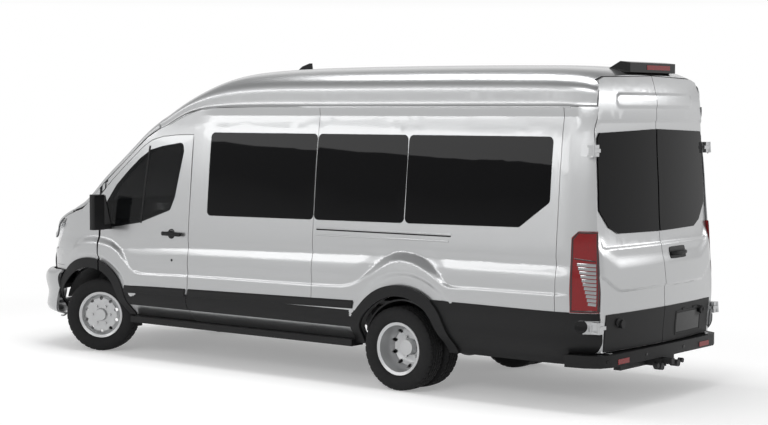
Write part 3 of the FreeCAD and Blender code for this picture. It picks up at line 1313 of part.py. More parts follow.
def floor_pan():
    """Floor of the cabin and the cab with the rear wheel housings."""
    half = HALF_WIDTH + OVERRUN
    pan = box(FLOOR_REAR_X, DOOR_REAR_X, 0, half, FLOOR_TOP - FLOOR_THICK, FLOOR_TOP)
    cab = box(DOOR_REAR_X, TOE_X, 0, PILLAR_Y - DOOR_INNER_CLEAR, CAB_FLOOR_TOP - FLOOR_THICK, CAB_FLOOR_TOP)
    riser = box(DOOR_REAR_X - FLOOR_THICK, DOOR_REAR_X, 0, PILLAR_Y - DOOR_INNER_CLEAR,
                CAB_FLOOR_TOP - FLOOR_THICK, FLOOR_TOP)
    toe = box(TOE_X, TOE_X + FLOOR_THICK, 0, HOUSE_IN_Y - HOUSE_WALL, CAB_FLOOR_TOP - FLOOR_THICK,
              TOE_HIGH)
    outer = REAR_ARCH - HOUSE_GROW
    wide = side_y(0, FLOOR_TOP) - WALL - HOUSE_IN_Y
    drum = Part.makeCylinder(outer, wide, V(REAR_ARCH_X, HOUSE_IN_Y, ARCH_Z), Y_AXIS)
    core = Part.makeCylinder(outer - HOUSE_WALL, wide, V(REAR_ARCH_X, HOUSE_IN_Y + HOUSE_WALL, ARCH_Z),
                             Y_AXIS)
    keep = box(REAR_ARCH_X - outer, REAR_ARCH_X + outer, 0, half, SILL_Z, HEIGHT)
    house = drum.cut(core).common(keep)
    pan = pan.cut(drum).fuse([house, cab, riser, toe])
    pan = pan.cut(SIDE_SLAB)
    pan = pan.cut(Part.makeCylinder(FRONT_ARCH + HOUSE_WALL, half,
                                    V(FRONT_AXLE_X, HOUSE_IN_Y - HOUSE_WALL, ARCH_Z), Y_AXIS))
    pan = max(pan.Solids, key=lambda solid: solid.Volume)
    return pan.fuse(mirrored(pan)).removeSplitter()


def firewall():
    """Bulkhead behind the engine bay, hinge pillars, cowl panel and front wheel housings."""
    back = FIREWALL_X - FLOOR_THICK
    inner = HOUSE_IN_Y - HOUSE_WALL
    low = CAB_FLOOR_TOP - FLOOR_THICK
    over = ARCH_Z + FRONT_ARCH + HOUSE_GROW
    wall = box(back, FIREWALL_X, 0, inner, low, COWL_Z)
    high = box(back, FIREWALL_X, 0, PILLAR_Y - PILLAR_WIDE / 2, over, COWL_Z)
    foot = box(TOE_X + FLOOR_THICK, FIREWALL_X, 0, inner, low, CAB_FLOOR_TOP)
    pillar = box(PILLAR_X, PILLAR_X + PILLAR_DEEP, PILLAR_Y - PILLAR_WIDE, PILLAR_Y, ARCH_Z + FRONT_ARCH,
                 PILLAR_HIGH)
    link = box(PILLAR_X + PILLAR_DEEP * LINK_BACK_SHARE, PILLAR_X + PILLAR_DEEP, PILLAR_Y, HALF_WIDTH, over,
               LINK_HIGH)
    outer = FRONT_ARCH + HOUSE_WALL
    wide = PILLAR_Y - HOUSE_IN_Y
    drum = Part.makeCylinder(outer, wide, V(FRONT_AXLE_X, HOUSE_IN_Y - HOUSE_WALL, ARCH_Z), Y_AXIS)
    core = Part.makeCylinder(FRONT_ARCH, wide, V(FRONT_AXLE_X, HOUSE_IN_Y, ARCH_Z), Y_AXIS)
    keep = box(0, HALF, 0, HALF_WIDTH, HOUSE_LOW, HEIGHT)
    house = drum.cut(core).common(keep)
    cowl = box(FIREWALL_X, COWL_X - OVERRUN, 0, HOUSE_IN_Y, COWL_Z - FLOOR_THICK, COWL_Z)
    front = wall.fuse([high, foot, pillar, link, house, cowl])
    front = front.cut(SIDE_SLAB.common(box(0, HALF, 0, 2 * HALF_WIDTH, 0, HEIGHT)))
    front = front.cut(nose_room())
    front = front.common(box(0, HALF, 0, HALF_WIDTH - LINING_CLEAR, 0, HEIGHT))
    core = [solid for solid in front.Solids if solid.Volume > OVERRUN ** 3]
    front = Part.makeCompound(core)
    for hinge in door_hinges():
        front = front.fuse(hinge)
    window = box(FRONT_AXLE_X - 2 * ARM_HALF, FRONT_AXLE_X + 2 * ARM_HALF, HOUSE_IN_Y - 2 * HOUSE_WALL,
                 HOUSE_IN_Y + HOUSE_WALL, 0, TYRE_RADIUS + RIM_RADIUS)
    front = front.cut(window)
    return front.fuse(mirrored(front)).removeSplitter()


ENGINE_LONG = 620.0
ENGINE_WIDE = 520.0
ENGINE_LOW = 430.0
ENGINE_HIGH = 1010.0
ENGINE_REAR_X = 2420.0
GEARBOX_LONG = 720.0
GEARBOX_RADIUS = 84.0
GEARBOX_REAR_RADIUS = 46.0
SHAFT_RADIUS = 38.0
SHAFT_CLEAR = 33.0
SHAFT_Z = 560.0
TANK_LONG = 1150.0
TANK_WIDE = 400.0
AXLE_RADIUS = 52.0
DIFF_RADIUS = 165.0
SPRING_LONG = 1400.0
SPRING_WIDE = 70.0
SPRING_THICK = 28.0
SPRING_Y = 520.0


def powertrain():
    """Engine block, gearbox and propeller shaft down the centre line."""
    engine = box(ENGINE_REAR_X, ENGINE_REAR_X + ENGINE_LONG, -ENGINE_WIDE / 2, ENGINE_WIDE / 2, ENGINE_LOW,
                 ENGINE_HIGH)
    box_front = V(ENGINE_REAR_X, 0, SHAFT_Z - OVERRUN)
    gearbox = Part.makeCone(GEARBOX_RADIUS, GEARBOX_REAR_RADIUS, GEARBOX_LONG, box_front, X_AXIS * -1)
    rear_end = V(REAR_AXLE_X + DIFF_RADIUS + SHAFT_CLEAR, 0, TYRE_RADIUS)
    shaft = rod(box_front - X_AXIS * GEARBOX_LONG, rear_end, SHAFT_RADIUS)
    return engine.fuse([gearbox, shaft]).removeSplitter()


def rear_axle():
    """Beam axle with its differential, spindles and leaf springs."""
    reach = REAR_TRACK_OUTER / 2 + DISH_REAR + REAR_HUB_HIGH - 2 * RIM_WALL
    tube = rod(V(REAR_AXLE_X, -reach, TYRE_RADIUS), V(REAR_AXLE_X, reach, TYRE_RADIUS), SPINDLE)
    end = SPRING_Y + OVERRUN
    sleeve = rod(V(REAR_AXLE_X, -end, TYRE_RADIUS), V(REAR_AXLE_X, end, TYRE_RADIUS), AXLE_RADIUS)
    diff = Part.makeSphere(DIFF_RADIUS, V(REAR_AXLE_X, 0, TYRE_RADIUS))
    axle = tube.fuse([sleeve, diff])
    for sign in (1, -1):
        low = TYRE_RADIUS + AXLE_RADIUS
        near = sign * SPRING_Y - SPRING_WIDE / 2
        far = sign * SPRING_Y + SPRING_WIDE / 2
        half = SPRING_LONG / 2
        spring = box(REAR_AXLE_X - half, REAR_AXLE_X + half, near, far, low, low + SPRING_THICK)
        seat = box(REAR_AXLE_X - SPRING_WIDE, REAR_AXLE_X + SPRING_WIDE, near, far, TYRE_RADIUS, low)
        axle = axle.fuse([spring, seat])
        for x in (REAR_AXLE_X - half + SPRING_THICK, REAR_AXLE_X + half - SPRING_THICK):
            axle = axle.fuse(box(x - SPRING_THICK, x + SPRING_THICK, near, far, low + SPRING_THICK,
                                 FLOOR_TOP - FLOOR_THICK))
    return axle.removeSplitter()


def fuel_tank():
    front = DOOR_REAR_X - FLOOR_THICK - SEAM
    near = RAIL_Y + RAIL_WIDE / 2
    return box(front - TANK_LONG, front, near, near + TANK_WIDE, RAIL_LOW - 2 * OVERRUN,
               FLOOR_TOP - FLOOR_THICK)


BEAM_HALF = 90.0


def front_suspension():
    """Cross member with lower and upper arms whose ball pins hold the knuckles."""
    half = RAIL_WIDE / 2
    beam = box(FRONT_AXLE_X - BEAM_HALF, FRONT_AXLE_X + BEAM_HALF, -RAIL_Y - half, RAIL_Y + half,
               RAIL_LOW - 2 * OVERRUN, RAIL_LOW)
    side = ENGINE_WIDE / 2 + OVERRUN / 4
    beam = beam.cut(box(0, HALF, -side, side, ENGINE_LOW - OVERRUN / 4, HEIGHT))
    king_y = FRONT_TRACK / 2 - KINGPIN_INSET
    low = TYRE_RADIUS - KNUCKLE_LOW
    high = TYRE_RADIUS + KNUCKLE_HIGH
    parts = []
    for sign in (1, -1):
        king = V(FRONT_AXLE_X, sign * king_y, 0)
        reach = sign * (king_y + KNUCKLE_RADIUS)
        parts.append(box(FRONT_AXLE_X - ARM_HALF, FRONT_AXLE_X + ARM_HALF, sign * (RAIL_Y - half), reach,
                         low - RUNNING - ARM_THICK, low - RUNNING))
        parts.append(box(FRONT_AXLE_X - ARM_HALF, FRONT_AXLE_X + ARM_HALF, sign * (RAIL_Y - half),
                         sign * (RAIL_Y + half), low - RUNNING, RAIL_LOW - 2 * OVERRUN))
        parts.append(box(FRONT_AXLE_X - UPPER_ARM_HALF, FRONT_AXLE_X + UPPER_ARM_HALF,
                         sign * (RAIL_Y + half), reach, high + RUNNING, high + RUNNING + UPPER_ARM_THICK))
        for start in (low - RUNNING, high - BALL_LONG + 2 * RUNNING):
            parts.append(Part.makeCylinder(BALL_PIN, BALL_LONG - RUNNING, king + Z_AXIS * start))
    return beam.fuse(parts).removeSplitter()


SILENCER_LONG = 838.0
SILENCER_HALF = 90.0


def exhaust():
    """Silencer box under the floor, outside the right rail."""
    y = -RAIL_Y - RAIL_WIDE - OVERRUN
    return box(0, SILENCER_LONG, y - SILENCER_HALF, y + SILENCER_HALF, RAIL_LOW - OVERRUN,
               FLOOR_TOP - FLOOR_THICK)


HITCH_TUBE = 63.5
HITCH_BORE = 50.8
HITCH_Z = 300.0
HITCH_PIN = 7.95
HITCH_PIN_BACK = 62.0
HITCH_INSET = 10.0


def hitch_receiver():
    """Square receiver tube on a cross bar under the rear bumper."""
    half = HITCH_TUBE / 2
    rear = -HALF + HITCH_INSET
    tube = box(rear, rear + 2 * BUMPER_STEP_DEEP, -half, half, HITCH_Z - half, HITCH_Z + half)
    bore = box(rear - OVERRUN, rear + 2 * BUMPER_STEP_DEEP - OVERRUN, -HITCH_BORE / 2, HITCH_BORE / 2,
               HITCH_Z - HITCH_BORE / 2, HITCH_Z + HITCH_BORE / 2)
    bar = box(rear + BUMPER_STEP_DEEP, rear + BUMPER_STEP_DEEP + HITCH_TUBE, -RAIL_Y - half, RAIL_Y + half,
              HITCH_Z - half, HITCH_Z + half)
    hangers = [box(rear + BUMPER_STEP_DEEP, rear + BUMPER_STEP_DEEP + HITCH_TUBE, y - half, y + half,
                   HITCH_Z + half, BUMPER_STEP_LOW) for y in (RAIL_Y, -RAIL_Y)]
    pin = Part.makeCylinder(HITCH_PIN, HITCH_TUBE + 2 * OVERRUN,
                            V(rear + HITCH_PIN_BACK, -half - OVERRUN, HITCH_Z), Y_AXIS)
    return tube.fuse([bar] + hangers).cut([bore, pin]).removeSplitter()


# Side outlines of the roof's fittings, as places ahead of their rear end and shares of the height
STOP_LAMP_HALF = 360.0
STOP_LAMP_REAR_X = -3210.7
STOP_LAMP_SIDE = [(240.0, 0.955), (90.0, 0.984), (0.0, 0.980), (0.0, 0.952), (60.0, 0.950)]
FIN_REAR_X = 395.5
FIN_HALF = 20.0
FIN_SIDE = [(200.0, 0.962), (90.0, 0.990), (0.0, 1.0), (-10.0, 0.965)]


def roof_fitting(side, rear, half, tools):
    """Prism across the roof from a side outline, seated on the roof's skin."""
    wire = outline([V(rear + x, -half, z * HEIGHT) for x, z in side])
    prism = Part.Face(wire).extrude(V(0, 2 * half, 0)).cut(tools)
    return max(prism.Solids, key=lambda solid: solid.BoundBox.ZMax)


def stop_lamp(roof):
    return roof_fitting(STOP_LAMP_SIDE, STOP_LAMP_REAR_X, STOP_LAMP_HALF, [roof, rear_opening(3 * DOOR_GAP)])


def antenna(roof):
    return roof_fitting(FIN_SIDE, FIN_REAR_X, FIN_HALF, [roof])


DASH_X = 2080.0
COLUMN = V(1880, 420, 1170)
COLUMN_DIR = V(-0.86, 0, 0.51)
WHEEL_RADIUS = 190.0
WHEEL_GRIP = 15.0
SHAFT = 18.0


COLUMN_LONG = 420.0
SHAFT_LONG = 180.0
BOSS_HIGH = 20.0
SPOKE_SHARE = 0.7
DASH_TOP = 1259.5
DASH_KNEE = 1182.5
DASH_FOOT = 940.0
DASH_LOW = 900.0
DASH_KNEE_BACK = 90.0
DASH_FOOT_BACK = 110.0


def dashboard():
    front = FIREWALL_X - FLOOR_THICK
    points = [(front, DASH_LOW), (DASH_X - DASH_FOOT_BACK, DASH_FOOT), (DASH_X - DASH_KNEE_BACK, DASH_KNEE),
              (DASH_X, DASH_TOP), (front, DASH_TOP)]
    wide = PILLAR_Y - PILLAR_WIDE
    wire = outline([V(x, -wide, z) for x, z in points])
    dash = Part.Face(wire).extrude(V(0, 2 * wide, 0))
    return dash.cut(rod(COLUMN - COLUMN_DIR * COLUMN_LONG, COLUMN, SHAFT + RUNNING))


def steering_wheel():
    """Rim, spokes and the shaft that turns in the dashboard."""
    ring = Part.makeTorus(WHEEL_RADIUS, WHEEL_GRIP, COLUMN, COLUMN_DIR)
    shaft = rod(COLUMN - COLUMN_DIR * SHAFT_LONG, COLUMN + COLUMN_DIR * BOSS_HIGH, SHAFT)
    spoke = WHEEL_GRIP * SPOKE_SHARE
    across = rod(COLUMN - Y_AXIS * WHEEL_RADIUS, COLUMN + Y_AXIS * WHEEL_RADIUS, spoke)
    up = COLUMN_DIR.cross(Y_AXIS).normalize()
    down = rod(COLUMN, COLUMN + up * WHEEL_RADIUS, spoke)
    return ring.fuse([shaft, across, down]).removeSplitter()


SEAT_WIDE = 450.0
SEAT_LONG = 470.0
SEAT_THICK = 110.0
SEAT_RISE = 360.0
SEAT_GAP = 12.0
SEAT_CORNER = 33.0
BACK_RISE = 640.0
BACK_THICK = 100.0
PEDESTAL_BACK = 164.5
PEDESTAL_FRONT = 141.0
PEDESTAL_HALF = 184.0
FRONT_SEAT_X = 1480.0
# Places along the vehicle of the rear rows: beside the aisle, between the wheel housings, last
AISLE_ROWS_X = [300.0, -520.0]
AISLE_SEAT_Y = 640.0
HOUSING_ROW_X = -1380.0
LAST_ROW_X = -2380.0


def seat(x, y, base):
    """One seat: cushion on a pedestal with a raked back."""
    low = base + SEAT_RISE
    top = low + SEAT_THICK
    half = SEAT_WIDE / 2
    front = x + SEAT_LONG / 2
    rear = x - SEAT_LONG / 2
    pedestal = box(x - PEDESTAL_BACK, x + PEDESTAL_FRONT, y - PEDESTAL_HALF, y + PEDESTAL_HALF, base, low)
    points = [(front, low), (front, top), (rear + BACK_THICK, top), (rear - BACK_THICK, low + BACK_RISE),
              (rear - 2 * BACK_THICK, low + BACK_RISE), (rear, low)]
    wire = outline([V(px, y - half, z) for px, z in points], SEAT_CORNER)
    return Part.Face(wire).extrude(V(0, SEAT_WIDE, 0)).fuse(pedestal).removeSplitter()


def front_seats():
    return both(seat(FRONT_SEAT_X, COLUMN.y, CAB_FLOOR_TOP))


def rear_seats():
    """Two rows of three beside the aisle, two seats between the wheel housings and four at the back."""
    pitch = SEAT_WIDE + SEAT_GAP
    places = []
    for x in AISLE_ROWS_X:
        places += [(x, AISLE_SEAT_Y), (x, AISLE_SEAT_Y - pitch), (x, -AISLE_SEAT_Y)]
    inner = HOUSE_IN_Y - SEAT_WIDE / 2 - HOUSE_WALL
    places += [(HOUSING_ROW_X, inner), (HOUSING_ROW_X, -inner)]
    places += [(LAST_ROW_X, pitch * step / 2) for step in (-3, -1, 1, 3)]
    return Part.makeCompound([seat(x, y, FLOOR_TOP) for x, y in places])


def side_panes():
    """Flush glass of one side, in three panes."""
    return [SIDE_PANE.common(side_prism(band_outline(front, rear, 0.0), BAND_CORNER))
            for front, rear in PANES]


def export(name, shape):
    shape.exportStep(os.path.join("parts", name + ".step"))


def main():
    os.makedirs("parts", exist_ok=True)
    nodes = {}
    nodes["roof_cap"] = roof_cap()
    nodes["windscreen_frame"] = windscreen_frame()
    nodes["windscreen"] = screen_glass()
    nodes["cant_strips"] = both(cant_strip())
    nodes["hood"] = hood()
    nodes["fenders"] = both(fender())
    panel = side_panel()
    nodes["side_panel_left"] = panel
    nodes["sliding_door_right"] = mirrored(panel)
    nodes["quarter_panels"] = both(quarter_panel())
    nodes["corner_pillars"] = both(corner_pillar())
    nodes["roof_seals"] = roof_seal()
    door = front_door()
    nodes["front_door_left"] = door
    nodes["front_door_right"] = mirrored(door)
    glass = door_glass()
    nodes["door_glass_left"] = glass
    nodes["door_glass_right"] = mirrored(glass)
    back = rear_door()
    nodes["rear_door_left"] = back
    nodes["rear_door_right"] = mirrored(back)
    pane = rear_glass()
    nodes["rear_glass_left"] = pane
    nodes["rear_glass_right"] = mirrored(pane)
    nodes["tail_lamps"] = both(tail_lamp())
    grille, lamps, corners = front_end()
    nodes["grille"] = grille
    nodes["headlamps"] = lamps
    nodes["nose_corners"] = corners
    nodes["front_bumper"] = front_bumper()
    nodes["side_glass"] = both(Part.makeCompound(side_panes()))
    nodes["side_cladding"] = side_cladding()
    trim = door_trim()
    nodes["door_trim_left"] = trim
    nodes["door_trim_right"] = mirrored(trim)
    clad = rear_door_trim()
    nodes["rear_door_trim_left"] = clad
    nodes["rear_door_trim_right"] = mirrored(clad)
    nodes["rear_bumper"] = rear_bumper()
    nodes["hitch_receiver"] = hitch_receiver()
    nodes["chassis_rails"] = chassis()
    nodes["floor_pan"] = floor_pan()
    nodes["firewall"] = firewall()
    nodes["powertrain"] = powertrain()
    nodes["rear_axle"] = rear_axle()
    nodes["fuel_tank"] = fuel_tank()
    nodes["front_suspension"] = front_suspension()
    nodes["exhaust_box"] = exhaust()
    nodes["stop_lamp"] = stop_lamp(nodes["roof_cap"])
    nodes["antenna_fin"] = antenna(nodes["roof_cap"])
    nodes["dashboard"] = dashboard()
    nodes["steering_wheel"] = steering_wheel()
    nodes["front_seats"] = front_seats()
    nodes["rear_seats"] = rear_seats()
    for sign, side in ((1, "left"), (-1, "right")):
        wheel, rubber, king, out, place = front_wheel(sign)
        nodes["front_wheel_" + side] = wheel
        nodes["front_tyre_" + side] = rubber
        nodes["knuckle_" + side] = knuckle(king, out, place)
        wheels, tyres = rear_wheels(sign)
        nodes["rear_wheels_" + side] = Part.makeCompound(wheels)
        nodes["rear_tyres_" + side] = Part.makeCompound(tyres)
    for name, shape in nodes.items():
        export(name, shape)
        print(name, len(shape.Solids), round(shape.Volume / LITRE, 2), shape.isValid())


main()
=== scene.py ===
import json
import math

import bmesh
import bpy
from mathutils import Matrix, Vector
from mathutils.bvhtree import BVHTree


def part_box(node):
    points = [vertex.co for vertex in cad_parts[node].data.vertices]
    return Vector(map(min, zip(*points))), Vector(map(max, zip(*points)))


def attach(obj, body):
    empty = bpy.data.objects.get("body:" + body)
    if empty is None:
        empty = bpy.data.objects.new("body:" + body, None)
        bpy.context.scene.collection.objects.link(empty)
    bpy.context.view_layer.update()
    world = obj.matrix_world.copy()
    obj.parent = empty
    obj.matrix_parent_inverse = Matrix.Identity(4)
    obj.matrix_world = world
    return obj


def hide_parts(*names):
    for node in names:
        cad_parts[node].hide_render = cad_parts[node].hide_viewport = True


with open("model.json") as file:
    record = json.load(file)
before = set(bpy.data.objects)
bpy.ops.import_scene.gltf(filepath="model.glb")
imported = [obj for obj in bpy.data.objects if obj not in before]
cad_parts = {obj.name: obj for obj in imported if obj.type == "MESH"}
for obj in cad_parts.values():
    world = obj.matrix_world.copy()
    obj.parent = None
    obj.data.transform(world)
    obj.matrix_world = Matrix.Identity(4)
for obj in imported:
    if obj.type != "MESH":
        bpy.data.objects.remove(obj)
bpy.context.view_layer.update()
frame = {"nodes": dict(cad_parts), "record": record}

# Shared places in metres, the same as the source's named sizes
HALF = 3.3515
AXLE_FRONT = 2.3285
AXLE_REAR = -1.4215
TYRE_R = 0.3495
TYRE_W = 0.195
STEER = math.radians(25)
KING_Y = 0.800
INSET = 0.066


# Materials

def mat(name, color, rough=0.5, metal=0.0, coat=0.0, coat_rough=0.05, alpha=1.0, ior=1.5):
    m = bpy.data.materials.new(name)
    m.use_nodes = True
    b = m.node_tree.nodes["Principled BSDF"]
    b.inputs["Base Color"].default_value = (*color, 1)
    b.inputs["Roughness"].default_value = rough
    b.inputs["Metallic"].default_value = metal
    b.inputs["Coat Weight"].default_value = coat
    b.inputs["Coat Roughness"].default_value = coat_rough
    b.inputs["IOR"].default_value = ior
    b.inputs["Alpha"].default_value = alpha
    m.diffuse_color = (*color, 1)
    return m


def node(m, kind, **values):
    n = m.node_tree.nodes.new(kind)
    for key, value in values.items():
        if key in n.inputs:
            n.inputs[key].default_value = value
        else:
            setattr(n, key, value)
    return n


def object_noise(m, scale, detail=4.0, rough=0.5):
    coord = node(m, "ShaderNodeTexCoord")
    noise = node(m, "ShaderNodeTexNoise", Scale=scale, Detail=detail, Roughness=rough)
    m.node_tree.links.new(coord.outputs["Object"], noise.inputs["Vector"])
    return noise


def mottle(m, scale, dark, light, detail=4.0):
    """Colour that drifts between two tones."""
    links = m.node_tree.links
    noise = object_noise(m, scale, detail)
    ramp = node(m, "ShaderNodeValToRGB")
    ramp.color_ramp.elements[0].position = 0.3
    ramp.color_ramp.elements[1].position = 0.7
    ramp.color_ramp.elements[0].color = (*dark, 1)
    ramp.color_ramp.elements[1].color = (*light, 1)
    links.new(noise.outputs["Fac"], ramp.inputs["Fac"])
    links.new(ramp.outputs["Color"], m.node_tree.nodes["Principled BSDF"].inputs["Base Color"])


def vary_rough(m, scale, low, high, detail=3.0):
    links = m.node_tree.links
    noise = object_noise(m, scale, detail)
    spread = node(m, "ShaderNodeMapRange")
    spread.inputs["To Min"].default_value = low
    spread.inputs["To Max"].default_value = high
    links.new(noise.outputs["Fac"], spread.inputs["Value"])
    links.new(spread.outputs["Result"], m.node_tree.nodes["Principled BSDF"].inputs["Roughness"])


def grain(m, scale, depth, kind="noise"):
    """Fine bump at a real scale, its depth in metres."""
    links = m.node_tree.links
    if kind == "noise":
        source = object_noise(m, scale, 2.0).outputs["Fac"]
    else:
        coord = node(m, "ShaderNodeTexCoord")
        cells = node(m, "ShaderNodeTexVoronoi", Scale=scale)
        links.new(coord.outputs["Object"], cells.inputs["Vector"])
        source = cells.outputs["Distance"]
    bump = node(m, "ShaderNodeBump", Distance=depth)
    bump.inputs["Strength"].default_value = 1.0
    links.new(source, bump.inputs["Height"])
    links.new(bump.outputs["Normal"], m.node_tree.nodes["Principled BSDF"].inputs["Normal"])


# Slot: colour, roughness, metal and the other values of its look
LOOKS = {
    "paint": ((0.43, 0.435, 0.44), 0.29, 0.88, {"coat": 0.7, "coat_rough": 0.03}),
    "clear_glass": ((0.006, 0.0065, 0.007), 0.02, 0.0, {"alpha": 0.72, "ior": 1.25}),
    "dark_glass": ((0.002, 0.002, 0.0025), 0.02, 0.0, {"alpha": 0.99, "ior": 1.22}),
    "lamp_clear": ((0.75, 0.77, 0.79), 0.04, 0.0, {"alpha": 0.28}),
    "lamp_red": ((0.23, 0.003, 0.005), 0.08, 0.0, {"coat": 0.4, "ior": 1.3}),
    "black_trim": ((0.012, 0.012, 0.0125), 0.5, 0.0, {"ior": 1.28}),
    "gloss_black": ((0.004, 0.004, 0.0045), 0.12, 0.0, {"coat": 0.2, "ior": 1.25}),
    "seal": ((0.012, 0.012, 0.012), 0.75, 0.0, {}),
    "black_steel": ((0.012, 0.012, 0.013), 0.6, 0.0, {}),
    "cast": ((0.12, 0.12, 0.125), 0.6, 0.6, {}),
    "tank": ((0.015, 0.015, 0.015), 0.6, 0.0, {}),
    "steel": ((0.42, 0.40, 0.37), 0.4, 1.0, {}),
    "interior": ((0.03, 0.03, 0.032), 0.7, 0.0, {}),
    "seat_cloth": ((0.04, 0.04, 0.043), 0.9, 0.0, {}),
    "wheel_silver": ((0.50, 0.505, 0.51), 0.34, 0.55, {"coat": 0.5}),
    "tyre": ((0.014, 0.014, 0.0145), 0.72, 0.0, {"ior": 1.3})}
# Slot: how many spots to the metre, then the darker and lighter tone, the lower and higher roughness, or
# the grain's depth in metres and its kind
MOTTLES = {
    "paint": (900.0, (0.405, 0.41, 0.415), (0.455, 0.46, 0.465), 2.0),
    "wheel_silver": (600.0, (0.47, 0.475, 0.48), (0.53, 0.535, 0.54), 2.0)}
ROUGHS = {"black_steel": (12.0, 0.45, 0.8), "steel": (20.0, 0.3, 0.6), "tyre": (30.0, 0.62, 0.85)}
GRAINS = {"black_trim": (1200.0, 0.00012, "cells"), "cast": (260.0, 0.0006, "noise"),
          "interior": (700.0, 0.0002, "cells"), "seat_cloth": (900.0, 0.0005, "cells")}


def make_materials():
    made = {}
    for name, (color, rough, metal, words) in LOOKS.items():
        made[name] = mat(name, color, rough, metal, **words)
    for treat, table in ((mottle, MOTTLES), (vary_rough, ROUGHS), (grain, GRAINS)):
        for name, values in table.items():
            treat(made[name], *values)
    return made


MATS = make_materials()
EXTRA = {}


def extra(name, *args, **words):
    if name not in EXTRA:
        EXTRA[name] = mat(name, *args, **words)
    return EXTRA[name]


def crisp(obj, angle):
    """Smooth faces, with edges kept sharp past an angle."""
    obj.data.polygons.foreach_set("use_smooth", [True] * len(obj.data.polygons))
    split = obj.modifiers.new("edges", "EDGE_SPLIT")
    split.split_angle = math.radians(angle)


SLOTS = {item["node"]: item["material_slot"] for item in frame["record"]["subparts"]}


def dress_nodes():
    """Carried-over CAD nodes get their slot's material, with smooth skins and crisp edges."""
    for name, obj in frame["nodes"].items():
        obj.data.materials.clear()
        obj.data.materials.append(MATS[SLOTS[name]])
        weld = obj.modifiers.new("weld", "WELD")
        weld.merge_threshold = 0.00002
        crisp(obj, 28)


dress_nodes()


# Mesh helpers

def link(name, mesh, material, body):
    obj = bpy.data.objects.new(name, mesh)
    bpy.context.scene.collection.objects.link(obj)
    if material is not None:
        obj.data.materials.clear()
        obj.data.materials.append(material)
    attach(obj, body)
    return obj


def mesh_of(name, verts, faces, smooth=True):
    mesh = bpy.data.meshes.new(name)
    mesh.from_pydata([tuple(v) for v in verts], [], faces)
    mesh.update()
    if smooth:
        mesh.polygons.foreach_set("use_smooth", [True] * len(mesh.polygons))
    return mesh


def quads(rows, ring, loop=False, closed=True):
    """Faces between rows of points, where each row may be closed and the last may meet the first."""
    faces = []
    for i in range(rows if loop else rows - 1):
        k = (i + 1) % rows
        for j in range(ring if closed else ring - 1):
            m = (j + 1) % ring
            faces.append((i * ring + j, i * ring + m, k * ring + m, k * ring + j))
    return faces


def turned(faces):
    """The same faces wound the other way."""
    return [(a, d, c, b) for a, b, c, d in faces]


def ends(rows, ring):
    """Both end faces of a bar of points."""
    return [tuple(reversed(range(ring))), tuple((rows - 1) * ring + k for k in range(ring))]


def capped(rows, ring):
    return quads(rows, ring) + ends(rows, ring)


def lathe(name, profile, steps):
    """Mesh turned about Y from (radius, along) points."""
    verts = []
    for i in range(steps):
        a = 2 * math.pi * i / steps
        for r, y in profile:
            verts.append((r * math.cos(a), y, r * math.sin(a)))
    return mesh_of(name, verts, quads(steps, len(profile), True))


def place_wheel(obj, place, out):
    """Turns a mesh built along +Y so that its +Y points out of the vehicle."""
    turn = Vector((0, 1, 0)).rotation_difference(Vector(out)).to_matrix().to_4x4()
    obj.matrix_world = Matrix.Translation(place) @ turn


TWIN_OUTER_Y = 0.940
TWIN_INNER_Y = 0.712
WHEEL_SPOTS = []
for sg, side in ((1, "left"), (-1, "right")):
    out = Vector((-math.sin(STEER) * sg, math.cos(STEER) * sg, 0))
    king = Vector((AXLE_FRONT, sg * KING_Y, TYRE_R))
    WHEEL_SPOTS.append(("front_" + side, "front_wheel_" + side, king + out * INSET, out,
                        "front_tyre_" + side))
    out = Vector((0, sg, 0))
    for ring, y in (("outer", TWIN_OUTER_Y), ("inner", TWIN_INNER_Y)):
        WHEEL_SPOTS.append(("rear_%s_%s" % (ring, side), "rear_wheel_" + side,
                            Vector((AXLE_REAR, sg * y, TYRE_R)), out, "rear_tyres_" + side))


# Tyres with tread blocks, shoulder lugs and sidewall rings

# Kinds of rows round a tyre
BLOCK, GROOVE, WALL = range(3)
SHOULDER_Y = 0.047
LUG_RADIUS = 0.328
LUG_CUT = 0.006
SIPE_CUT = 0.004
GROOVE_CUT = 0.0085


def tyre_mesh():
    half = TYRE_W / 2
    tread = 0.075
    grooves = [-0.046, -0.016, 0.016, 0.046]
    profile = [(0.2035, -0.0597), (0.2205, -0.0683), (0.226, -0.078), (0.240, -0.0885), (0.262, -0.0955),
               (0.285, -half), (0.303, -0.0966), (0.318, -0.0935), (0.3295, -0.0885), (0.3375, -0.0825)]
    top = []
    edge = -tread
    for g in grooves:
        top += [(BLOCK, edge), (BLOCK, g - 0.0046), (GROOVE, g - 0.0034), (GROOVE, g + 0.0034),
                (BLOCK, g + 0.0046)]
        edge = g + 0.0046
    top += [(BLOCK, tread)]
    marks = []
    for kind, y in top:
        crown = 0.0040 * (y / tread) ** 2
        marks.append((TYRE_R - crown - (kind == GROOVE) * GROOVE_CUT, y, kind))
    steps = 216
    verts = []
    rows = [(r, y, WALL) for r, y in profile] + marks + [(r, -y, WALL) for r, y in reversed(profile)]
    for i in range(steps):
        a = 2 * math.pi * i / steps
        phase = i % 6
        for r, y, kind in rows:
            radius = r
            if kind == BLOCK and abs(y) > SHOULDER_Y and phase == 0:
                radius = r - LUG_CUT
            if kind == BLOCK and abs(y) < SHOULDER_Y and phase == 3:
                radius = r - SIPE_CUT
            if kind == WALL and r > LUG_RADIUS and phase == 0:
                radius = r - SIPE_CUT
            verts.append((radius * math.cos(a), y, radius * math.sin(a)))
    return mesh_of("tyre_tread", verts, turned(quads(steps, len(rows), True, False)))


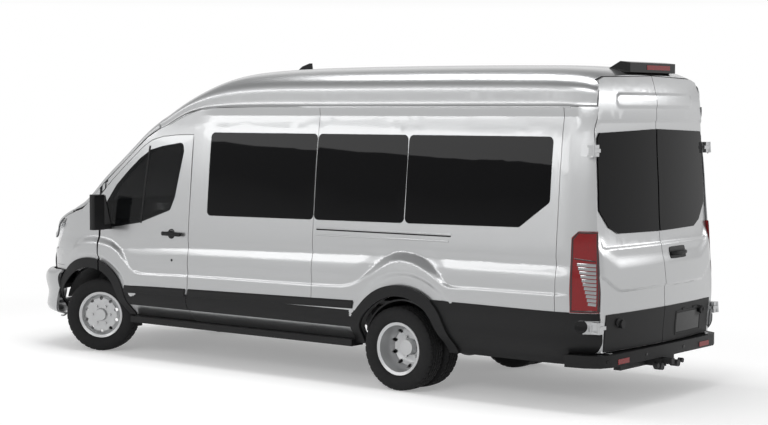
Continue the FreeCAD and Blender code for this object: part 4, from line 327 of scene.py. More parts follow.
def build_tyres():
    mesh = tyre_mesh()
    for name, body, place, out, cad in WHEEL_SPOTS:
        obj = bpy.data.objects.new("tyre_" + name, mesh.copy())
        bpy.context.scene.collection.objects.link(obj)
        obj.data.materials.append(MATS["tyre"])
        place_wheel(obj, place, out)
        crisp(obj, 35)
        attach(obj, body)
        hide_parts(cad)


build_tyres()


# Pressed lines of the side and back panels, which the CAD skins leave smooth

HALF_WIDE = 1.030
TALL = 2.750
TUCK_SHARES = [
    (-0.9876, 0.1650), (-0.9697, 0.1117), (-0.9459, 0.0680), (-0.9160, 0.0350), (-0.8802, 0.0136),
    (-0.8205, 0.0029), (-0.6863, 0.0), (0.2984, 0.0), (0.5371, 0.0039), (0.6952, 0.0117),
    (0.7758, 0.0330), (0.8354, 0.0796), (0.8742, 0.1359), (0.9041, 0.2184)]
SECTION_SHARES = [
    (0.100, 0.950), (0.182, 0.985), (0.2545, 0.998), (0.327, 1.0), (0.364, 0.999), (0.400, 0.990),
    (0.4545, 0.981), (0.509, 0.969), (0.618, 0.945), (0.727, 0.9165), (0.800, 0.896), (0.870, 0.876)]
REAR_FACE_SHARES = [
    (0.150, 0.9840), (0.200, 0.9900), (0.270, 0.9955), (0.330, 0.9960), (0.400, 0.9900), (0.440, 0.9870),
    (0.500, 0.9810), (0.620, 0.9760), (0.720, 0.9710), (0.820, 0.9690), (0.900, 0.9640), (0.955, 0.9500)]
REAR_BOW = 0.0205
TWIN = 5.0
PRESSED = {}
# Depth of the pressing at heights above and below the two body lines, in metres
BELT_PRESS = [(-0.36, 0.0), (-0.16, 0.001), (-0.07, -0.0045), (-0.015, -0.0115), (0.0, -0.0135),
              (0.004, -0.0135), (0.03, -0.0085), (0.065, -0.0015), (0.10, 0.0005), (0.20, 0.0)]
# Heights of the two body lines along x; the lower one rises over both wheels
CREASE_LINE = [(-3.20, 1.128), (-2.157, 1.124), (-1.136, 1.113), (0.857, 1.067), (1.182, 1.056),
               (1.584, 1.033), (1.818, 1.021), (2.4, 1.01)]
RIDGE_LINE = [
    (-3.40, 0.885), (-2.169, 0.881), (-1.969, 0.872), (-1.905, 0.882), (-1.842, 0.934), (-1.745, 0.996),
    (-1.647, 1.043), (-1.583, 1.064), (-1.464, 1.078), (-1.370, 1.064), (-1.338, 1.048), (-1.251, 0.995),
    (-1.149, 0.931), (-1.020, 0.862), (-0.933, 0.830), (-0.824, 0.812), (-0.511, 0.801), (0.858, 0.788),
    (1.184, 0.780), (1.587, 0.770), (1.682, 0.776), (1.751, 0.809), (1.819, 0.882), (1.902, 0.965),
    (1.999, 1.014), (2.112, 1.036), (2.254, 1.046), (2.398, 1.033), (2.501, 0.991), (2.575, 0.928),
    (2.687, 0.818), (2.90, 0.70)]
ARCH_LIFT = [(-3.4, 0.004), (-2.06, 0.005), (-1.93, 0.010), (-1.80, 0.020), (-1.64, 0.026), (-1.30, 0.026),
             (-1.14, 0.018), (-1.0, 0.010), (-0.85, 0.006), (1.60, 0.006), (1.72, 0.010), (1.84, 0.018),
             (1.98, 0.023), (2.45, 0.023), (2.60, 0.016), (2.75, 0.008)]
GUTTER_PRESS = [(2.10, 0.0), (2.16, -0.002), (2.262, -0.0125), (2.270, -0.013), (2.274, -0.0125),
                (2.328, -0.002), (2.338, 0.0)]


def read(table, t):
    """Straight-line reading of (place, value) pairs in rising order."""
    if t <= table[0][0]:
        return table[0][1]
    for (a, low), (b, high) in zip(table, table[1:]):
        if t <= b:
            return low + (high - low) * (t - a) / (b - a)
    return table[-1][1]


def smooth(table, t):
    """Cubic reading of (place, value) pairs in rising order, as the source reads them."""
    last = len(table) - 1
    if t <= table[0][0]:
        return table[0][1]
    if t >= table[last][0]:
        return table[last][1]
    i = 0
    while table[i + 1][0] < t:
        i += 1

    def slope(k):
        low = max(k - 1, 0)
        high = min(k + 1, last)
        return (table[high][1] - table[low][1]) / (table[high][0] - table[low][0])

    step = table[i + 1][0] - table[i][0]
    f = (t - table[i][0]) / step
    rise = 3 * f ** 2 - 2 * f ** 3
    lead = (f ** 3 - 2 * f ** 2 + f) * step * slope(i)
    trail = (f ** 3 - f ** 2) * step * slope(i + 1)
    return table[i][1] * (1 - rise) + table[i + 1][1] * rise + lead + trail


def ease(t):
    t = min(max(t, 0.0), 1.0)
    return t * t * (3 - 2 * t)


def side_wide(x, z):
    return (smooth(SECTION_SHARES, z / TALL) - smooth(TUCK_SHARES, x / HALF)) * HALF_WIDE


def rear_place(y, z):
    return (REAR_BOW * (y / HALF_WIDE) ** 2 - smooth(REAR_FACE_SHARES, z / TALL)) * HALF


# A place along a line and the length over which a pressing fades there
BACK_END = (-3.16, 0.22)
FRONT_END = (2.72, 0.30)
BELT_END = (2.05, 0.35)
FOOT_END = (0.50, 0.10)
GUTTER_BACK = (-3.09, 0.05)
GUTTER_FRONT = (0.95, 0.25)
HOLLOW_TOP = (-0.03, 0.03)
HOLLOW_FOOT = (0.02, 0.12)
HOLLOW_DEPTH = 0.006
HOLLOW_FRONT_X = 1.70
RIDGE_ROUND = 0.022
RIDGE_SLOPE = 2.6
# Middle and radius of the wheel openings' painted edges
FRONT_FLARE = (2.30, 0.35, 0.560)
REAR_FLARE = (-1.50, 0.42, 0.525)
FLARE_FADE = 0.06


def fade_in(t, end):
    place, length = end
    return ease((t - place) / length)


def fade_out(t, end):
    place, length = end
    return ease((place - t) / length)


def past_flare(x, z, flare):
    middle_x, middle_z, radius = flare
    return ease((math.hypot(x - middle_x, z - middle_z) - radius) / FLARE_FADE)


def side_relief(x, z):
    """How far the pressed side stands out of the smooth one."""
    belt = read(BELT_PRESS, z - read(CREASE_LINE, x)) * fade_out(x, BELT_END)
    ridge = read(RIDGE_LINE, x)
    lift = read(ARCH_LIFT, x)
    soft = RIDGE_ROUND + lift * RIDGE_SLOPE
    inside = 1 - ease((z - ridge) / soft)
    hollow = 0.0
    if x < HOLLOW_FRONT_X:
        above = z - ridge - soft
        hollow = -HOLLOW_DEPTH * fade_in(above, HOLLOW_TOP) * (1 - fade_in(above, HOLLOW_FOOT))
    base = (belt + hollow) * (1 - inside) + lift * inside
    foot = fade_in(z, FOOT_END) * past_flare(x, z, FRONT_FLARE) * past_flare(x, z, REAR_FLARE)
    top = read(GUTTER_PRESS, z) * fade_in(x, GUTTER_BACK) * fade_out(x, GUTTER_FRONT)
    return base * foot * fade_in(x, BACK_END) * fade_out(x, FRONT_END) + top


CUT_REACH = 0.0003
CUT_MARGIN = 0.002
WELD_REACH = 0.00003
FLAT_ANGLE = math.radians(2.5)


def cut_lines(bm, axis, places):
    """Edges along planes across one axis, so that a relief has points to follow."""
    normal = [float(k == axis) for k in range(3)]
    for place in places:
        spot = [place * part for part in normal]
        bmesh.ops.bisect_plane(bm, geom=bm.verts[:] + bm.edges[:] + bm.faces[:], plane_co=spot,
                               plane_no=normal, dist=CUT_REACH)


def steps(low, high, pitch):
    count = max(1, round((high - low) / pitch))
    return [low + (high - low) * i / count for i in range(count + 1)]


def sculpt(name, flatten, restore, cuts, angle=32):
    """Copy of a CAD node whose skin is laid flat, cut finer, and laid back with its pressings."""
    node = frame["nodes"][name]
    bm = bmesh.new()
    bm.from_mesh(node.data)
    bmesh.ops.remove_doubles(bm, verts=bm.verts, dist=WELD_REACH)
    for v in bm.verts:
        v.co = flatten(v.co)
    bmesh.ops.dissolve_limit(bm, angle_limit=FLAT_ANGLE, verts=bm.verts, edges=bm.edges)
    low = [min(v.co[k] for v in bm.verts) for k in range(3)]
    high = [max(v.co[k] for v in bm.verts) for k in range(3)]
    for axis, places in cuts:
        inner = [p for p in places if low[axis] + CUT_MARGIN < p < high[axis] - CUT_MARGIN]
        cut_lines(bm, axis, inner)
    bmesh.ops.triangulate(bm, faces=bm.faces[:], quad_method="BEAUTY", ngon_method="BEAUTY")
    for v in bm.verts:
        v.co = restore(v.co)
    mesh = bpy.data.meshes.new(name + "_pressed")
    bm.to_mesh(mesh)
    bm.free()
    body = [key for key, names in frame["record"]["behaviour"]["bodies"].items() if name in names][0]
    obj = link(name + "_pressed", mesh, MATS[SLOTS[name]], body)
    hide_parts(name)
    crisp(obj, angle)
    PRESSED[name] = obj


def flat_side(co):
    sign = 1 if co.y > 0 else -1
    return Vector((co.x, co.y - sign * side_wide(co.x, co.z), co.z))


# Depth at which a panel's inside no longer follows its pressings, on the sides and on the back
SIDE_DEPTH = (0.05, 0.08)
BACK_DEPTH = (0.04, 0.06)


def pressed_side(sign):
    def restore(co):
        near = 1 - fade_in(max(0.0, -sign * co.y), SIDE_DEPTH)
        out = side_wide(co.x, co.z) + near * side_relief(co.x, co.z)
        return Vector((co.x, co.y + sign * out, co.z))
    return restore


def flat_twin(co):
    """Both sides of one node laid flat, each moved out far enough to be told apart."""
    sign = 1 if co.y > 0 else -1
    return flat_side(co) + Vector((0, sign * TWIN, 0))


def pressed_twin(co):
    sign = 1 if co.y > 0 else -1
    return pressed_side(sign)(co - Vector((0, sign * TWIN, 0)))


PRESS_Z = [1.27, 1.22, 1.19] + steps(0.60, 1.17, 0.0118)
TOP_Z = [z for z, _ in GUTTER_PRESS] + [2.21, 2.30]
PRESS_X = steps(-2.10, -0.80, 0.028) + steps(1.62, 2.72, 0.028) + steps(-0.72, 1.58, 0.115)
PRESS_X += steps(-3.16, -2.16, 0.05) + [-3.09, -3.06, -3.04, 0.70, 0.78, 0.86, 0.95]


def press_sides():
    """Both sides' panels with their body lines and wheel bulges."""
    pairs = {"front_door_left": 1, "front_door_right": -1, "side_panel_left": 1, "sliding_door_right": -1}
    for name, sign in pairs.items():
        sculpt(name, flat_side, pressed_side(sign), [(2, PRESS_Z + TOP_Z), (0, PRESS_X)])
    for name in ("fenders", "quarter_panels", "corner_pillars"):
        sculpt(name, flat_twin, pressed_twin, [(2, PRESS_Z + TOP_Z), (0, PRESS_X)])


press_sides()


def round_box(y, z, half_y, middle_z, half_z, radius):
    """Distance outside (over 0) or inside (under 0) a rounded box on the back face."""
    dy = abs(y) - half_y + radius
    dz = abs(z - middle_z) - half_z + radius
    outer = math.hypot(max(dy, 0.0), max(dz, 0.0))
    return outer + min(max(dy, dz), 0.0) - radius


# Half width, middle height, half height and corner radius, then where the edge fades, and its depth
SURROUND = (0.925, 1.748, 0.492, 0.17)
SURROUND_EDGE = (-0.012, 0.020)
SURROUND_DEPTH = 0.010
EMBOSS = (0.60, 2.395, 0.052, 0.05)
EMBOSS_EDGE = (-0.010, 0.020)
EMBOSS_HIGH = 0.007
EMBOSS_Y = 0.02
# The swage's lower edge, which rises toward the corners, and how it stands out of the door
SWAGE_Z = 0.910
SWAGE_RISE = 0.15
SWAGE_TURN = (0.62, 0.34)
SWAGE_EDGE = 0.026
SWAGE_TALL = 0.17
SWAGE_FADE = 0.13
SWAGE_HIGH = 0.015
SWAGE_SIDES = (0.84, 0.08)
LOW_TOP = (0.79, 0.03)
LOW_DEPTH = 0.004


def rear_relief(y, z):
    """How far the pressed back doors stand out of the smooth face."""
    sunk = -SURROUND_DEPTH * (1 - fade_in(round_box(y, z, *SURROUND), SURROUND_EDGE))
    raised = EMBOSS_HIGH * (1 - fade_in(round_box(y + EMBOSS_Y, z, *EMBOSS), EMBOSS_EDGE))
    above = z - SWAGE_Z - SWAGE_RISE * fade_in(abs(y), SWAGE_TURN)
    over = ease(above / SWAGE_EDGE)
    shelf = over * (1 - ease((above - SWAGE_TALL) / SWAGE_FADE))
    low = -LOW_DEPTH * fade_in(z, LOW_TOP) * (1 - over)
    return sunk + raised + (SWAGE_HIGH * shelf + low) * (1 - fade_in(abs(y), SWAGE_SIDES))


def flat_back(co):
    return Vector((co.x - rear_place(co.y, co.z), co.y, co.z))


def pressed_back(co):
    near = 1 - fade_in(co.x, BACK_DEPTH)
    return Vector((co.x + rear_place(co.y, co.z) - near * rear_relief(co.y, co.z), co.y, co.z))


BACK_Z = [0.79, 0.81, 0.83, 1.215, 1.238, 1.25, 1.262, 1.275, 2.20, 2.215, 2.228, 2.24, 2.252]
BACK_Z += [2.327, 2.337, 2.347, 2.357, 2.367, 2.42, 2.432, 2.442, 2.452, 2.463] + steps(0.90, 1.20, 0.0125)
BACK_Y = [0.56, 0.575, 0.59, 0.605] + steps(0.06, 0.54, 0.06) + steps(0.62, 0.96, 0.0155)


def press_back():
    """Both back doors with their window surround, swage and upper panel."""
    for side, sign in (("left", 1), ("right", -1)):
        cuts = [(2, BACK_Z), (1, [sign * y for y in BACK_Y])]
        sculpt("rear_door_" + side, flat_back, pressed_back, cuts, 30)


press_back()


# Skins: where the CAD panels are, found by casting rays on them

class Skin:
    """The outside of some CAD nodes, to lay trim and lines on."""

    def __init__(self, *names):
        verts = []
        faces = []
        for name in names:
            data = PRESSED.get(name, frame["nodes"][name]).data
            base = len(verts)
            verts += [v.co.copy() for v in data.vertices]
            faces += [[base + i for i in poly.vertices] for poly in data.polygons]
        self.tree = BVHTree.FromPolygons(verts, faces)

    def cast(self, start, aim):
        spot, normal, _, _ = self.tree.ray_cast(Vector(start), Vector(aim))
        if spot is None:
            return None
        if normal.dot(Vector(aim)) > 0:
            normal = -normal
        return spot, normal

    def side(self, sign):
        return lambda x, z: self.cast((x, sign * 3.0, z), (0, -sign, 0))

    def back(self):
        return lambda y, z: self.cast((-6.0, y, z), (1, 0, 0))

    def front(self):
        return lambda y, z: self.cast((6.0, y, z), (-1, 0, 0))

    def corner(self, sign):
        """Seen from behind and aside: first coordinate runs round the corner, toward the middle."""
        out = Vector((-0.75, sign * 0.66, 0.0))
        along = Vector((-0.66, -sign * 0.75, 0.0))

        def look(t, z):
            start = Vector((-3.18, sign * 0.985, z)) + along * t + out
            return self.cast(start, -out)
        return look

    def top(self):
        return lambda x, y: self.cast((x, y, 5.0), (0, 0, -1))


def resample(points, step):
    out = [Vector(points[0])]
    for a, b in zip(points, points[1:]):
        a = Vector(a)
        b = Vector(b)
        count = max(1, round((b - a).length / step))
        for i in range(1, count + 1):
            out.append(a.lerp(b, i / count))
    return out


def laid(points, cast, step=0.03):
    """Places and normals on a skin along a line of its two coordinates."""
    rows = []
    for p in resample(points, step):
        hit = cast(p[0], p[1])
        if hit is not None:
            rows.append(hit)
    return rows


def ribbon(name, points, cast, width, proud, body, material, step=0.03, deep=0.003, soft=0.35, loop=False):
    """Strip with softened edges laid along a line on a skin."""
    if loop:
        points = list(points) + [points[0]]
    rows = laid(points, cast, step)
    if loop:
        rows = rows[:-1]
    count = len(rows)
    half = width / 2
    section = [(-half, -deep), (-half, proud * 0.45), (-half * (1 - soft), proud), (half * (1 - soft), proud),
               (half, proud * 0.45), (half, -deep)]
    verts = []
    for i, (spot, normal) in enumerate(rows):
        before = rows[(i - 1) % count if loop else max(i - 1, 0)][0]
        after = rows[(i + 1) % count if loop else min(i + 1, count - 1)][0]
        along = (after - before).normalized()
        across = normal.cross(along).normalized()
        for a, h in section:
            verts.append(spot + across * a + normal * h)
    n = len(section)
    faces = quads(count, n, loop)
    if not loop:
        faces += [end[::-1] for end in ends(count, n)]
    obj = link(name, mesh_of(name, verts, faces), material, body)
    tidy_normals(obj)
    return obj


def patch(name, corners, cast, proud, body, material, nu=10, nv=8, deep=0.004, round_off=0.0):
    """Thin plate that follows a skin inside four corners, with turned-down edges."""
    a, b, c, d = [Vector(p) for p in corners]
    verts = []
    for i in range(nu + 1):
        u = i / nu
        low = a.lerp(b, u)
        high = d.lerp(c, u)
        for j in range(nv + 1):
            v = j / nv
            p = low.lerp(high, v)
            if round_off:
                middle = (a + b + c + d) / 4
                edge = max(abs(2 * u - 1), abs(2 * v - 1))
                both = (abs(2 * u - 1) ** 6 + abs(2 * v - 1) ** 6) ** (1 / 6)
                if both > 0:
                    p = middle + (p - middle) * (1 + (edge / both - 1) * round_off)
            hit = cast(p[0], p[1])
            if hit is None:
                return None
            verts.append(hit[0] + hit[1] * proud)
    w = nv + 1
    faces = turned(quads(nu + 1, w, closed=False))
    ring = [j for j in range(w)] + [i * w + nv for i in range(1, nu + 1)]
    ring += [nu * w + j for j in range(nv - 1, -1, -1)] + [i * w for i in range(nu - 1, 0, -1)]
    base = len(verts)
    mid = (a + b + c + d) / 4
    normal = cast(mid[0], mid[1])[1]
    for k in ring:
        verts.append(verts[k] - normal * (deep + proud))
    n = len(ring)
    for k in range(n):
        m = (k + 1) % n
        faces.append((ring[k], ring[m], base + m, base + k))
    faces.append(tuple(base + k for k in reversed(range(n))))
    obj = link(name, mesh_of(name, verts, faces), material, body)
    tidy_normals(obj)
    return obj


def tidy_normals(obj, angle=35):
    """Faces turned outward, and edges kept crisp past an angle."""
    bm = bmesh.new()
    bm.from_mesh(obj.data)
    bmesh.ops.remove_doubles(bm, verts=bm.verts, dist=0.00001)
    bmesh.ops.recalc_face_normals(bm, faces=bm.faces)
    bm.to_mesh(obj.data)
    bm.free()
    crisp(obj, angle)


def stud(name, hit, radius, high, body, material, dome=0.4, steps=28):
    """Round domed button standing on a skin."""
    spot, normal = hit
    profile = [(0.0001, high), (radius * 0.5, high * (1 - dome * 0.2)),
               (radius * 0.86, high * (1 - dome * 0.6)), (radius, high * (1 - dome)), (radius, -0.003),
               (0.0001, -0.003)]
    obj = link(name, lathe(name, profile, steps), material, body)
    turn = Vector((0, 1, 0)).rotation_difference(Vector(normal)).to_matrix().to_4x4()
    obj.data.transform(Matrix.Translation(spot) @ turn)
    tidy_normals(obj)
    return obj


def tube(name, points, radius, body, material, steps=12, flat=1.0):
    """Bent bar through points, its ends rounded in."""
    verts = []
    count = len(points)
    up_hint = Vector((0, 0, 1))
    for i, p in enumerate(points):
        p = Vector(p)
        before = Vector(points[max(i - 1, 0)])
        after = Vector(points[min(i + 1, count - 1)])
        along = (after - before).normalized()
        side = along.cross(up_hint)
        if side.length < 0.001:
            side = along.cross(Vector((1, 0, 0)))
        side.normalize()
        up = side.cross(along)
        scale = 0.55 if i in (0, count - 1) else 1.0
        for k in range(steps):
            a = 2 * math.pi * k / steps
            verts.append(p + (side * math.cos(a) * flat + up * math.sin(a)) * radius * scale)
    obj = link(name, mesh_of(name, verts, capped(count, steps)), material, body)
    tidy_normals(obj, 50)
    return obj


SIDES = ((1, "left"), (-1, "right"))
FIXED = Skin("roof_cap", "windscreen_frame", "cant_strips", "fenders", "side_panel_left",
             "sliding_door_right", "quarter_panels", "corner_pillars")
GLOSS = MATS["gloss_black"]
BLACK = MATS["black_trim"]
PAINT = MATS["paint"]

# Lines of the sides as (x, z) points
GUTTER_LINE = [(-3.0, 2.343), (0.70, 2.343), (0.86, 2.330), (1.05, 2.292), (1.20, 2.236), (1.31, 2.185)]
QUARTER_BAR = [(1.556, 1.985), (1.590, 1.62), (1.622, 1.265)]
# Blind rail: name, ends, width, how proud it stands and its material; the thin gloss black slot strip is
# painted shade, a dark sheet standing in for the shadow inside the rail's open slot
RAILS = (("rail_upper_", [(-0.53, 1.316), (-1.96, 1.319)], 0.010, 0.004, PAINT),
         ("rail_lower_", [(-0.53, 1.252), (-1.93, 1.262)], 0.014, 0.005, PAINT),
         ("rail_slot_shade_", [(-0.53, 1.300), (-1.95, 1.304)], 0.012, 0.0012, GLOSS))
HANDLE_CUP = (1.214, 1.182)
DOOR_LOCK = (1.199, 0.941)
SIDE_SENSOR = (-3.018, 0.672)
# Front door handle as x, distance out of the skin and z
GRIP = [(1.075, 0.012, 1.180), (1.092, 0.028, 1.181), (1.13, 0.036, 1.182), (1.20, 0.040, 1.183),
        (1.27, 0.036, 1.184), (1.305, 0.028, 1.184), (1.318, 0.012, 1.184)]
GRIP_RADIUS = 0.0185


def side_lines():
    """Rain gutter, blind rail, divider bars and small fittings of both sides."""
    for sign, side in SIDES:
        cast = FIXED.side(sign)
        ribbon("gutter_" + side, GUTTER_LINE, cast, 0.012, 0.006, "body", PAINT, 0.05)
        for name, ends, wide, proud, material in RAILS:
            ribbon(name + side, ends, cast, wide, proud, "body", material, 0.06)
        door = Skin("front_door_" + side, "door_glass_" + side).side(sign)
        body = "front_door_" + side
        ribbon("quarter_bar_" + side, QUARTER_BAR, door, 0.022, 0.004, body, BLACK, 0.04)
        cup = door(*HANDLE_CUP)
        stud("handle_cup_" + side, cup, 0.046, 0.006, body, GLOSS, 0.8, 40)
        stud("door_lock_" + side, door(*DOOR_LOCK), 0.012, 0.003, body, BLACK)
        grip = [(x, sign * (abs(cup[0].y) + out), z) for x, out, z in GRIP]
        tube("handle_bar_" + side, grip, GRIP_RADIUS, body, BLACK, 16, 0.62)
        sensor = Skin("side_cladding").side(sign)(*SIDE_SENSOR)
        stud("sensor_rear_" + side, sensor, 0.028, 0.0025, "body", BLACK, 0.7, 36)


side_lines()


def corners(low, high):
    """Four corners of a box from its (y, z) corners, in order."""
    return [low, (high[0], low[1]), high, (low[0], high[1])]


# Fittings of the back as (y, z) corners; the handle is y, distance out of the skin and z
HANDLE_POCKET = corners((-0.115, 1.125), (-0.385, 1.222))
HANDLE_MIDDLE = (-0.25, 1.172)
HANDLE_BAR = [(-0.135, 0.006, 1.170), (-0.16, 0.024, 1.171), (-0.22, 0.030, 1.172), (-0.30, 0.030, 1.172),
              (-0.345, 0.024, 1.171), (-0.368, 0.006, 1.170)]
PLATE_FRAME = corners((-0.20, 0.505), (-0.66, 0.690))
PLATE_BED = corners((-0.215, 0.52), (-0.645, 0.675))
PLATE_LAMPS = (("plate_lamp_a", -0.33), ("plate_lamp_b", -0.53))
PLATE_LAMP_HALF = 0.03
PLATE_LAMP_Z = (0.694, 0.712)
REFLECTOR_Y = (0.57, 0.735)
REFLECTOR_Z = (0.365, 0.405)
PARK_Y = (0.30, 0.86)
PARK_Z = 0.398
STOP_LENS = corners((0.10, 2.640), (-0.27, 2.676))


def back_fittings():
    """Handle, plate recess, lamps and reflectors seen from behind."""
    door = Skin("rear_door_right", "rear_door_trim_right").back()
    body = "rear_door_right"
    patch("handle_pocket", HANDLE_POCKET, door, 0.004, body, GLOSS, 12, 8, 0.004, 0.6)
    skin_x = door(*HANDLE_MIDDLE)[0].x
    tube("rear_handle", [(skin_x - out, y, z) for y, out, z in HANDLE_BAR], 0.016, body, BLACK, 16, 0.8)
    ribbon("plate_frame", PLATE_FRAME, door, 0.016, 0.004, body, BLACK, 0.03, 0.003, 0.35, True)
    patch("plate_bed", PLATE_BED, door, 0.0015, body, GLOSS, 8, 6, 0.002)
    for name, y in PLATE_LAMPS:
        cover = corners((y + PLATE_LAMP_HALF, PLATE_LAMP_Z[0]), (y - PLATE_LAMP_HALF, PLATE_LAMP_Z[1]))
        patch(name, cover, door, 0.005, body, BLACK, 4, 3)
    lens = extra("red_lens", (0.25, 0.003, 0.005), 0.08, coat=0.3, ior=1.3)
    bumper = Skin("rear_bumper").back()
    for sign, side in SIDES:
        glass = corners((sign * REFLECTOR_Y[0], REFLECTOR_Z[0]), (sign * REFLECTOR_Y[1], REFLECTOR_Z[1]))
        patch("reflector_" + side, glass, bumper, 0.004, "body", lens, 8, 4)
        for k, y in enumerate(PARK_Y):
            stud("park_%d_%s" % (k, side), bumper(sign * y, PARK_Z), 0.014, 0.003, "body", GLOSS)
    patch("stop_lens", STOP_LENS, Skin("stop_lamp").back(), 0.003, "body", lens, 16, 4)


back_fittings()

# Tail lamps: heights at which their edges are looked for, and the insert's ribs and dividing bar
EDGE_LEVELS = (0.782, 1.0, 1.2, 1.33, 1.384)
EDGE_SEARCH = 50
EDGE_PITCH = 0.005
RIM_INSET = 0.006
RIB_COUNT = 11
RIB_Z = 0.835
RIB_PITCH = 0.030
RIB_DROP = 0.006
RIB_START_SHARE = 0.60
RIB_LEAN_SHARE = 0.36
RIB_INSET = 0.022
BAR_Z = (1.185, 1.165)
BAR_INSET = 0.02
GUARD_Y = 0.962
GUARD_Z = (0.40, 0.60)


def lamp_details():
    """Dark rims, ridged clear inserts and bars of the tail lamps, and the black corners below them."""
    rim = extra("lamp_rim", (0.03, 0.001, 0.0015), 0.15, coat=0.3)
    bright = extra("lamp_bright", (0.30, 0.30, 0.305), 0.16, 0.7)
    guard = Skin("corner_pillars", "quarter_panels").back()
    for sign, side in SIDES:
        cast = Skin("tail_lamps").corner(sign)
        lows = {}
        highs = {}
        for z in EDGE_LEVELS:
            places = [k * EDGE_PITCH for k in range(-EDGE_SEARCH, EDGE_SEARCH + 1)]
            hits = [t for t in places if cast(t, z) is not None]
            lows[z] = min(hits)
            highs[z] = max(hits)
        front = [(lows[z] + RIM_INSET, z) for z in EDGE_LEVELS]
        rear = [(highs[z] - RIM_INSET, z) for z in EDGE_LEVELS]
        ribbon("lamp_rim_" + side, front + rear[::-1], cast, 0.014, 0.004, "body", rim, 0.03, 0.002, 0.3,
               True)
        ribbon("corner_guard_" + side, [(sign * GUARD_Y, z) for z in GUARD_Z], guard, 0.060, 0.004, "body",
               BLACK, 0.02, 0.004, 0.2)
        wide = highs[1.0] - lows[1.0]
        for k in range(RIB_COUNT):
            z = RIB_Z + RIB_PITCH * k
            start = lows[1.0] + wide * (RIB_START_SHARE - RIB_LEAN_SHARE * k / (RIB_COUNT - 1))
            rib = [(start, z + RIB_DROP), (highs[1.0] - RIB_INSET, z)]
            ribbon("lamp_ridge_%d_%s" % (k, side), rib, cast, 0.024, 0.0035, "body", bright, 0.02, 0.001, 0.5)
        bar = [(lows[1.2] + BAR_INSET, BAR_Z[0]), (highs[1.2] - BAR_INSET, BAR_Z[1])]
        ribbon("lamp_split_" + side, bar, cast, 0.010, 0.003, "body", rim, 0.02)


SHINE = extra("strap_bolt", (0.5, 0.5, 0.5), 0.3, 1.0)
# Hinge beds and bolts: name, place as (x, z), radius, height, body, material, dome and steps
HINGE_MARKS = (("hinge_bed_", (-3.16, 0.665), 0.050, 0.004, "body", GLOSS, 0.6, 40),
               ("hinge_bolt_1965_", (-3.215, 1.965), 0.009, 0.007, "body", SHINE, 0.3, 6),
               ("hinge_bolt_2035_", (-3.215, 2.035), 0.009, 0.007, "body", SHINE, 0.3, 6))


def hinge_marks():
    """Dark bed behind the lower hinge and bolts at the upper hinge of each back door."""
    for sign, side in SIDES:
        cast = Skin("side_cladding", "quarter_panels", "corner_pillars").side(sign)
        for name, place, *shape in HINGE_MARKS:
            stud(name + side, cast(*place), *shape)


# Top edge of the lower trim between the wheels, and the front and back end of its two pieces
MOULD_LINE = [(-0.86, 0.687), (0.0, 0.671), (1.40, 0.649), (1.86, 0.636)]
MOULD_DOOR = (1.02, 1.825)
MOULD_BODY = (-0.955, 0.98)
STOP_PAD = (0.68, 0.685)
TOW_BAR = ((-3.42, 0.0, 0.315), (-3.22, 0.0, 0.315), 0.034, 4)
# Tow sockets: x of both ends, y, z and radius
TOW_SOCKETS = ((-3.40, -3.33, 0.13, 0.285, 0.028), (-3.40, -3.36, 0.20, 0.300, 0.019))


def small_marks():
    """Top edge of the lower trim, bump pad and tow fittings."""
    for sign, side in SIDES:
        skin = Skin("fenders", "front_door_" + side, "side_panel_left", "sliding_door_right",
                    "quarter_panels").side(sign)
        for k, (body, ends) in enumerate((("front_door_" + side, MOULD_DOOR), ("body", MOULD_BODY))):
            places = (ends[1], sum(ends) / 2, ends[0])
            line = [(x, read(MOULD_LINE, x)) for x in places]
            ribbon("mould_top_%d_%s" % (k, side), line, skin, 0.070, 0.012, body, BLACK, 0.08, 0.004, 0.3)
    pad = Skin("rear_door_left", "rear_door_trim_left").back()(*STOP_PAD)
    stud("stop_pad_left", pad, 0.030, 0.016, "rear_door_left", BLACK, 0.3, 32)
    parts = [rod_shell(*TOW_BAR)]
    for sign, _ in SIDES:
        for back, front, y, z, radius in TOW_SOCKETS:
            parts.append(rod_shell((back, sign * y, z), (front, sign * y, z), radius, 24))
    gather("tow_fittings", parts, MATS["black_steel"], "body", None, 35)


# Seats and steering wheel in the cab and the load space

def power_round(a, power):
    c = math.cos(a)
    d = math.sin(a)
    return math.copysign(abs(c) ** (2 / power), c), math.copysign(abs(d) ** (2 / power), d)


def pad_points(long, wide, thick, bolster, channels, nu=26, nv=44):
    """Crowned closed pad: long along x, wide along y, its seating face up."""
    verts = []
    for i in range(nu + 1):
        u = -math.cos(math.pi * i / nu)
        end = (1 - abs(u) ** 5) ** 0.2 if abs(u) < 1 else 0.0
        for k in range(nv):
            cy, cz = power_round(2 * math.pi * k / nv, 3.4)
            y = wide / 2 * cy * (0.90 + 0.10 * end) * (1 - 0.03 * u * u)
            z = thick / 2 * cz * end
            if cz > 0:
                side = min(max((abs(cy) - 0.55) / 0.3, 0), 1)
                rise = bolster * side * side * (3 - 2 * side) * end
                groove = sum(math.exp(-((u - g) / 0.035) ** 2) for g in channels) * (1 - side)
                seam = math.exp(-((abs(cy) - 0.60) / 0.045) ** 2)
                z += rise - 0.007 * end * (groove + seam)
            verts.append(Vector((u * long / 2, y, z)))
    return verts, turned(quads(nu + 1, nv))


def gather(name, parts, material, body, replaced=None, angle=60):
    """One object from several (verts, faces) shells."""
    verts = []
    faces = []
    for shell_verts, shell_faces in parts:
        base = len(verts)
        verts += shell_verts
        faces += [tuple(base + i for i in face) for face in shell_faces]
    obj = link(name, mesh_of(name, verts, faces), material, body)
    tidy_normals(obj, angle)
    if replaced:
        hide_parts(replaced)
    return obj


def moved(shell, matrix):
    verts, faces = shell
    return [matrix @ v for v in verts], faces


